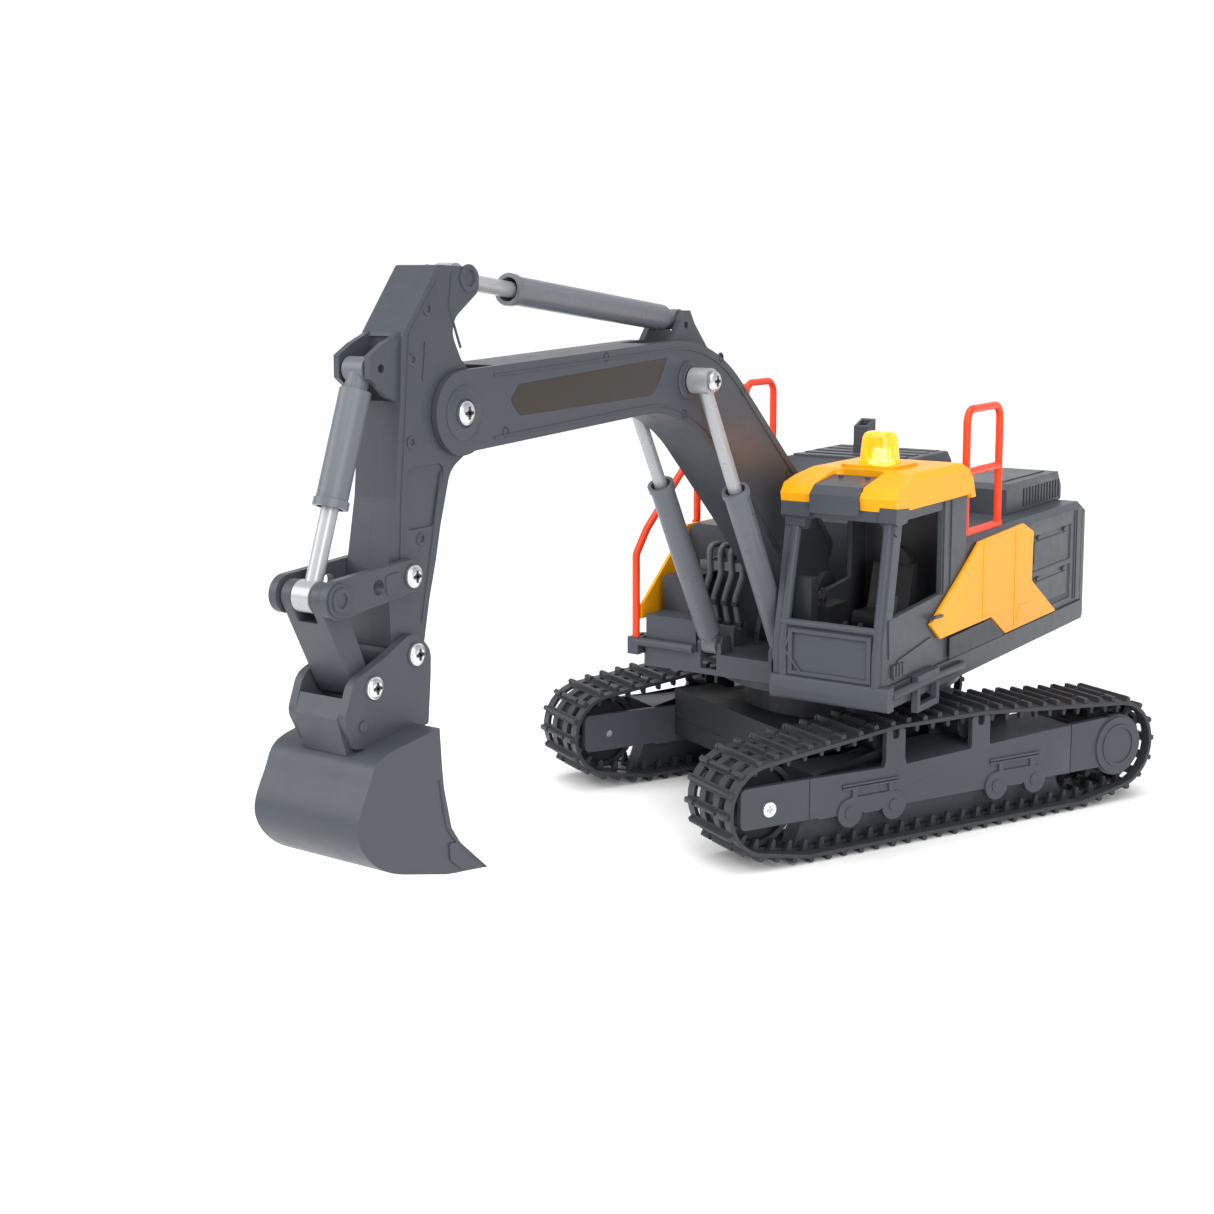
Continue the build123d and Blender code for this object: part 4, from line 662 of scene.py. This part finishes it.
PIN_REACH = CYLINDER_OFFSET + 5.6
eye_ends = [(BOOM_EYE.x, BOOM_Y + out * (PIN_REACH + 1.2), BOOM_EYE.z, out) for out in (1, -1)]
pivot_ends = [(STICK_PIVOT.x, BOOM_Y + out * (BOOM_HALF + 1.4), STICK_PIVOT.z, out) for out in (1, -1)]
bolt_heads("boom_screws", "boom", eye_ends + pivot_ends, 4.0)
bolt_heads("stick_screws", "stick",
           [(pin.x, BOOM_Y + out * (EAR_OUT + 1.4), pin.z, out) for out in (1, -1)
            for pin in (ROCKER_PIVOT, BUCKET_PIVOT)], 3.6)
BUCKET_EYE = (368.0, 129.0)
bolt_heads("bucket_screws", "bucket",
           [(BUCKET_EYE[0], BOOM_Y + out * (EAR_OUT + 1.2), BUCKET_EYE[1], out) for out in (1, -1)], 3.6)

# Rocker: stepped ring round the rod's pin and a sunken web.
rings = bmesh.new()
for out in (1, -1):
    turned(rings, (ROCKER_END.x, BOOM_Y + out * (EAR_OUT - 0.2), ROCKER_END.z), (0, out, 0),
           [(0, 6.1), (0.7, 6.1), (0.9, 5.8), (0.9, 4.4), (1.7, 4.1), (1.7, 2.7), (0.9, 2.5)], 36)
    web = round_corners([(352, 161.6), (360.5, 160.8), (360.5, 168.3), (352, 168.6)], 2)
    plate(rings, web, BOOM_Y + out * (EAR_OUT - 0.1), out, 0.55)
finish_piece(rings, "rocker_rings", UPPER, "rocker_link", CHARCOAL, (), bevel=0.15,
             smooth=40)

# Stick: ridge round the cylinder's eye, flank seams and small screw bosses.
BOSS_PROFILE = [(0, 2.4), (0.75, 2.4), (0.95, 2.1), (0.95, 1.3), (0.3, 1.2)]
ridge = bmesh.new()
for out in (1, -1):
    face = BOOM_Y + out * STICK_HALF
    turned(ridge, (STICK_EYE.x, face - out * 0.4, STICK_EYE.z), (0, out, 0),
           [(0, 5.2), (0.9, 5.2), (1.2, 4.8), (1.2, 3.2), (0.5, 3.0)], 32)
    plate(ridge, [(332, 250), (332.9, 250), (334.4, 236), (333.5, 236)], face - out * 0.1, out, 0.5)
    for x, z in ((331, 262), (341, 214), (336.5, 178), (340, 244)):
        turned(ridge, (x, face - out * 0.4, z), (0, out, 0), BOSS_PROFILE, 20)
finish_piece(ridge, "stick_bosses", UPPER, "stick", CHARCOAL, (), smooth=40)

# Bucket: side cutters, bosses and the hood's round bar.
bucket_dress = bmesh.new()
CUTTER = [(319, 51.2), (333.5, 54.4), (340.5, 60), (341, 66.5), (336.5, 66), (330.5, 59.5)]
for out in (1, -1):
    plate(bucket_dress, CUTTER, BOOM_Y + out * (BUCKET_HALF - 0.3), out, 1.0)
    turned(bucket_dress, (373.5, BOOM_Y + out * (EAR_OUT - 0.3), 116), (0, out, 0),
           [(0, 2.2), (0.9, 2.2), (1.1, 1.9), (1.1, 0.8)], 20)
tube(bucket_dress, [(376.3, BOOM_Y - 10.6, 111.5), (376.3, BOOM_Y + 10.6, 111.5)], 3.2, 20)
finish_piece(bucket_dress, "bucket_dressing", UPPER, "bucket", CHARCOAL, (), bevel=0.25)

# Cab: round front pillars, brow caps, roof hatch, lower front panel, sill bumper, steps and side relief.
CAB_FACE, HOUSE_FACE, PANEL_FACE, STRIP_FACE = 72.9, 72.5, 75.0, 74.2
trim = bmesh.new()
for y, foot_x, brow_x in ((70.0, 100.6, 89.0), (21.5, 100.2, 86.6)):
    tube(trim, [(foot_x, y, 84), (foot_x - 0.3, y, 99), (foot_x - 2.2, y, 113), (foot_x - 6.8, y, 136),
                (brow_x, y, 163)], 2.5, 18)
for low_y, high_y, step_low, step_high in ((66.5, 75.2, 67.5, 74.0), (15.4, 30.5, 16.5, 27.0)):
    extrude_outline(trim, [(79, 166), (92.8, 167), (93.6, 160.5), (91, 158.6), (81, 159.5)], low_y, high_y)
    extrude_outline(trim, [(84, 159.5), (91.5, 159.5), (91.2, 155.2), (88.6, 153.4), (85, 154.6)],
                    step_low, step_high)
extrude_outline(trim, [(66.6, 173.2), (66.6, 177.6), (70, 178.4), (90.4, 175.4), (95.2, 171.6),
                       (95.2, 162.6), (92.6, 162.6), (92.4, 170.6), (89, 173)], 31.4, 56.6)
extrude_outline(trim, [(86.2, 159.6), (90.4, 159.6), (92.2, 166.8), (86, 166.8)], 24.0, 68.0)
for y in (37.0, 51.0):
    turned(trim, (73.5, y, 177.2), (0, 0, 1), [(0, 1.3), (1.3, 1.3), (1.6, 1.0)], 16)
tube(trim, [(99.4, 20, 110), (99.4, 71.4, 110)], 1.9, 16)
FRONT_PANEL = ((24.4, 26.6, 85.6, 107.6), (65.4, 67.6, 85.6, 107.6), (26.6, 65.4, 105.8, 107.6),
               (26.6, 65.4, 85.6, 87.4))
for low_y, high_y, low_z, high_z in FRONT_PANEL:
    box(trim, (100.2, low_y, low_z), (101.9, high_y, high_z))
tube(trim, [(101.2, 25.6, 107), (101.5, 22.6, 97), (101.5, 31.5, 86)], 0.7, 10)
BUMPER = round_corners([(96.5, 73.4), (103.4, 73.4), (104, 79), (102.8, 84.8), (96.5, 84.8)],
                       [0, 2, 2, 1.5, 0])
extrude_outline(trim, BUMPER, 15.8, 77.2)
tube(trim, [(97, 75.8, 79.8), (90, 76.6, 80.4), (60, 76.7, 80.3), (16, 76.4, 79.2), (11, 74.6, 79.1)],
     2.1, 16)
plate(trim, [(89, 86.2), (84.5, 94.8), (47.5, 99.4), (32.5, 86.2)], CAB_FACE, 1, 0.9)
plate(trim, [(32.8, 118.6), (34.2, 118.6), (34.2, 164), (32.8, 164)], CAB_FACE, 1, 0.9)
plate(trim, [(24.4, 104), (25.2, 104), (25.2, 164), (24.4, 164)], CAB_FACE, 1, 0.7)
plate(trim, [(91.6, 97), (94.6, 97), (95.6, 115), (93, 115)], CAB_FACE, 1, 0.8)
for k in range(4):
    box(trim, (79.5 + 3.4 * k, 73.2, 87.4), (81.3 + 3.4 * k, 74.6, 93.4))
tube(trim, [(40.5, 73.4, 108), (40.5, 76.0, 109), (49.5, 76.0, 109.6), (49.5, 73.4, 108.4)], 0.9, 10)
finish_piece(trim, "cab_trim", UPPER, "upper", CHARCOAL, (), bevel=0.45, smooth=38)

# Beacon: a ribbed lens, square in plan with rounded sides, on a collar.
def squarish(angle, radius, sharpness=3.4):
    return radius / (abs(cos(angle)) ** sharpness + abs(sin(angle)) ** sharpness) ** (1 / sharpness)


BEACON = (46.0, 44.0, 182.6)
lens = bmesh.new()
steps = 72
rings_of_lens = []
LENS_PROFILE = ((0, 9.0), (1.2, 9.3), (1.4, 8.6), (7, 8.2), (12.5, 7.6), (14.2, 6.9), (15.2, 5.6),
                (15.4, 3.0), (15.4, 0.2))
for height, radius in LENS_PROFILE:
    ring = []
    for k in range(steps):
        angle = 2 * pi * k / steps
        rib = 1 - (0.03 if 1.3 < height < 13 and k % 4 < 2 else 0.0)
        reach = squarish(angle, radius) * rib
        spot = (BEACON[0] + reach * cos(angle), BEACON[1] + reach * sin(angle), BEACON[2] + height)
        ring.append(lens.verts.new(spot))
    rings_of_lens.append(ring)
for ring, after in zip(rings_of_lens, rings_of_lens[1:]):
    for k in range(steps):
        lens.faces.new((ring[k], ring[(k + 1) % steps], after[(k + 1) % steps], after[k]))
lens.faces.new(rings_of_lens[-1])
finish_piece(lens, "beacon_lens_ribbed", UPPER, "upper", AMBER, ("beacon_lens",), smooth=40)

# House: seams, service doors and their latches, hood ribs and the counterweight's grille.
house = bmesh.new()
for out in (1, -1):
    face = out * HOUSE_FACE
    for x in (-156.5, -160.2):
        plate(house, [(x, 86), (x + 1.0, 86), (x + 1.0, 138), (x, 138)], face - out * 0.1, out, 0.6)
    for low_z, high_z in ((88, 108), (111, 131)):
        inner = [(-145, low_z + 3.4), (-93, low_z + 3.4), (-93, high_z - 3.4), (-145, high_z - 3.4)]
        plate(house, round_corners(inner, 1.6), face - out * 0.9, out, 0.6)
        for x in (-140, -99):
            latch = [(x - 2.4, high_z - 2.6), (x + 2.4, high_z - 2.6), (x + 2.4, high_z - 0.8),
                     (x - 2.4, high_z - 0.8)]
            plate(house, latch, face - out * 0.9, out, 1.3)
for x in (-118, -104, -90, -76, -62):
    box(house, (x, -58, 170.9), (x + 6.5, 4, 172.5))
box(house, (-160, 18, 158.8), (-94, 20, 159.7))
box(house, (-160, 50, 158.8), (-94, 52, 159.7))
for y in (-46, 46):
    box(house, (-182.0, y - 11, 98), (-180.6, y + 11, 104))
for k in range(6):
    box(house, (-180.6, -36 + 12.4 * k, 95), (-179.2, -31.5 + 12.4 * k, 115))
finish_piece(house, "house_dressing", UPPER, "upper", CHARCOAL, (), bevel=0.25,
             smooth=38)

# Light panels: their shut lines and a raised patch.
swoosh = bmesh.new()
for out in (1, -1):
    face = out * PANEL_FACE
    for x, low_z in ((-58, 87), (-14, 99)):
        line = [(x, low_z), (x + 0.9, low_z), (x + 0.9, 139), (x, 139)]
        plate(swoosh, line, face - out * 0.2, out, 0.55)
    patch = round_corners([(-78, 90), (-60, 90), (-64, 97), (-78, 97)], 1)
    plate(swoosh, patch, face - out * 0.2, out, 0.6)
finish_piece(swoosh, "side_panel_lines", UPPER, "upper", YELLOW, (), bevel=0.2)

strip = bmesh.new()
plate(strip, [(27.5, 95.6), (-25.4, 96.4), (-45, 84.6), (27.5, 84.6)], STRIP_FACE, 1, 0.7)
finish_piece(strip, "side_name_strip", UPPER, "upper", DARK, (), bevel=0.2)

# Hose clamps and their nuts.
HOSE_X, FIRST_HOSE_Y, HOSE_SPACING = 54, -29.5, 6.4
clamps = bmesh.new()
for hose in range(4):
    y = FIRST_HOSE_Y - HOSE_SPACING * hose
    turned(clamps, (HOSE_X, y - 2.6, 104.0), (0, 0, 1), [(0, 2.2), (2.6, 2.2)], 18)
    turned(clamps, (HOSE_X, y - 0.2, 93.6), (0, 0, 1), [(0, 2.6), (2.4, 2.6), (3.0, 2.1)], 6)
finish_piece(clamps, "hose_clamps", UPPER, "upper", BLACK_AND_PAINTED_SHADE, (), bevel=0.15)

# ---------------------------------------------------------------------------------------------------------
# Everything else keeps its CAD shape, with soft moulded edges
# ---------------------------------------------------------------------------------------------------------
SOFT_EDGES = {
    "left_frame_outer": 0.5, "left_frame_inner": 0.5, "right_frame_outer": 0.5, "right_frame_inner": 0.5,
    "chassis_upper_shell": 0.7, "chassis_lower_shell": 0.7, "battery_door": 0.3, "deck_frame": 0.6,
    "house_shell": 0.7, "counterweight": 1.0, "side_hood": 0.5, "engine_hood": 1.6, "exhaust_stack": 0.5,
    "left_side_panel": 0.7, "right_side_panel": 0.7, "right_toolbox": 0.7, "cab_shell": 0.8,
    "cab_roof": 1.3, "boom_left_half": 0.7, "boom_right_half": 0.7, "stick_left_half": 0.7,
    "stick_right_half": 0.7, "bucket": 0.7, "rocker_link": 0.6, "push_link": 0.6, "boom_barrels": 0.5,
    "stick_barrel": 0.5, "bucket_barrel": 0.5, "cab_seat": 1.0, "cab_console": 0.6, "left_sprocket": 0.4,
    "right_sprocket": 0.4, "left_idler": 0.5, "right_idler": 0.5, "left_front_roller": 0.4,
    "left_rear_roller": 0.4, "right_front_roller": 0.4, "right_rear_roller": 0.4, "boom_rods": 0.3,
    "stick_rod": 0.3, "bucket_rod": 0.3, "boom_bolts": 0.3, "stick_bolts": 0.3, "bucket_bolt": 0.3,
    "idler_axles": 0.3, "hose_bundle": 0.2,
}
# Painted light: the barrels and the hose bundle get lighter copies of the charcoal as painted highlight, and the
# chassis shells are coloured near-black as painted shade under the house.
PAINTED_LIGHT_MATERIAL = {"boom_barrels": BARREL_HIGHLIGHT, "stick_barrel": BARREL_HIGHLIGHT, "bucket_barrel": BARREL_HIGHLIGHT,
                 "hose_bundle": HOSE, "chassis_upper_shell": BLACK_AND_PAINTED_SHADE, "chassis_lower_shell": BLACK_AND_PAINTED_SHADE}
for node, edge in SOFT_EDGES.items():
    refine(node, edge, LOWER if NODE_BODY[node] == "chassis" else UPPER, PAINTED_LIGHT_MATERIAL.get(node))

for node, thing in frame["nodes"].items():
    thing.data.materials.clear()
    thing.data.materials.append(PAINTED_LIGHT_MATERIAL.get(node, SLOT_MATERIAL[NODE_SLOT[node]]))
    for polygon in thing.data.polygons:
        polygon.use_smooth = True
    thing.data.set_sharp_from_angle(angle=radians(30))


# ---------------------------------------------------------------------------------------------------------
# Camera, lights and floor
# ---------------------------------------------------------------------------------------------------------
CAMERA = (815.7, 408.1, 275.0)
HEADING = (-0.8235, -0.5674)
PITCH = radians(7.14)
ROLL = radians(-0.10)
FOCAL_SHARE = 1.423394      # focal length over the picture's width
SENSOR = 36.0

camera_data = bpy.data.cameras.new("camera")
camera_data.sensor_width = SENSOR
camera_data.lens = FOCAL_SHARE * SENSOR
camera_data.shift_x = 0.0058
camera_data.shift_y = -0.0972
camera_data.clip_start = 0.01
camera = bpy.data.objects.new("camera", camera_data)
bpy.context.scene.collection.objects.link(camera)
forward = Vector((HEADING[0] * cos(PITCH), HEADING[1] * cos(PITCH), -sin(PITCH))).normalized()
turn = forward.to_track_quat("-Z", "Y").to_matrix().to_4x4() @ Matrix.Rotation(ROLL, 4, "Z")
camera.matrix_world = Matrix.Translation(UPPER @ Vector(CAMERA)) @ turn
bpy.context.scene.camera = camera


def area_light(name, place, target, size, power, specular):
    data = bpy.data.lights.new(name, "AREA")
    data.shape = "DISK"
    data.size = size
    data.energy = power
    light = bpy.data.objects.new(name, data)
    bpy.context.scene.collection.objects.link(light)
    data.specular_factor = specular
    aim = (Vector(target) - Vector(place)).to_track_quat("-Z", "Y").to_matrix().to_4x4()
    light.matrix_world = Matrix.Translation(Vector(place)) @ aim
    return light


area_light("key", (1.25, -1.15, 0.95), (0.05, -0.02, 0.12), 1.3, 15, 0.3)
area_light("side", (0.75, 1.0, 0.6), (0.0, 0.05, 0.1), 0.9, 9, 0.5)
area_light("top", (-0.3, -0.1, 1.9), (0, 0, 0), 1.5, 7, 1)
sun_data = bpy.data.lights.new("overhead", "SUN")
sun_data.energy = 2.65
sun_data.angle = radians(70)
sun = bpy.data.objects.new("overhead", sun_data)
bpy.context.scene.collection.objects.link(sun)
sun.matrix_world = Vector((0.35, 0.1, 1)).to_track_quat("Z", "Y").to_matrix().to_4x4()

world = bpy.data.worlds.new("studio")
bpy.context.scene.world = world
world.use_nodes = True
sky_nodes, sky_links = world.node_tree.nodes, world.node_tree.links
direction = sky_nodes.new("ShaderNodeTexCoord")
parts = sky_nodes.new("ShaderNodeSeparateXYZ")
sky_links.new(direction.outputs["Generated"], parts.inputs["Vector"])
fade = sky_nodes.new("ShaderNodeMapRange")
fade.interpolation_type = "SMOOTHSTEP"
fade.inputs["From Min"].default_value = 0.30
fade.inputs["From Max"].default_value = 0.85
fade.inputs["To Min"].default_value = 1.02
fade.inputs["To Max"].default_value = 0.45
sky_links.new(parts.outputs["Z"], fade.inputs["Value"])
# The backdrop behind the machine is the brightest; the rest of the studio is dimmer.
aside = sky_nodes.new("ShaderNodeVectorMath")
aside.operation = "DOT_PRODUCT"
aside.inputs[1].default_value = (*HEADING, 0)
sky_links.new(direction.outputs["Generated"], aside.inputs[0])
backdrop = sky_nodes.new("ShaderNodeMapRange")
backdrop.interpolation_type = "SMOOTHSTEP"
backdrop.inputs["From Min"].default_value = 0.35
backdrop.inputs["From Max"].default_value = 0.85
backdrop.inputs["To Min"].default_value = 0.5
backdrop.inputs["To Max"].default_value = 1.0
sky_links.new(aside.outputs["Value"], backdrop.inputs["Value"])
strength = sky_nodes.new("ShaderNodeMath")
strength.operation = "MULTIPLY"
sky_links.new(fade.outputs["Result"], strength.inputs[0])
sky_links.new(backdrop.outputs["Result"], strength.inputs[1])
sky_links.new(strength.outputs["Value"], sky_nodes["Background"].inputs["Strength"])
sky_nodes["Background"].inputs["Color"].default_value = (1, 1, 1, 1)

floor_mesh = bmesh.new()
extrude_outline(floor_mesh, ring_outline((0, 0), 9000, 96), -4.0, -0.02, plan_point)
floor_data = bpy.data.meshes.new("floor")
floor_mesh.transform(Matrix.Scale(MM, 4))
floor_mesh.to_mesh(floor_data)
floor_mesh.free()
floor = bpy.data.objects.new("floor", floor_data)
bpy.context.scene.collection.objects.link(floor)
FLOOR = bpy.data.materials.new("floor_paper")
FLOOR.use_nodes = True
FLOOR.node_tree.nodes["Principled BSDF"].inputs["Base Color"].default_value = (0.95, 0.95, 0.95, 1)
FLOOR.node_tree.nodes["Principled BSDF"].inputs["Roughness"].default_value = 0.9
floor_data.materials.append(FLOOR)

bpy.context.scene.view_settings.view_transform = "Standard"
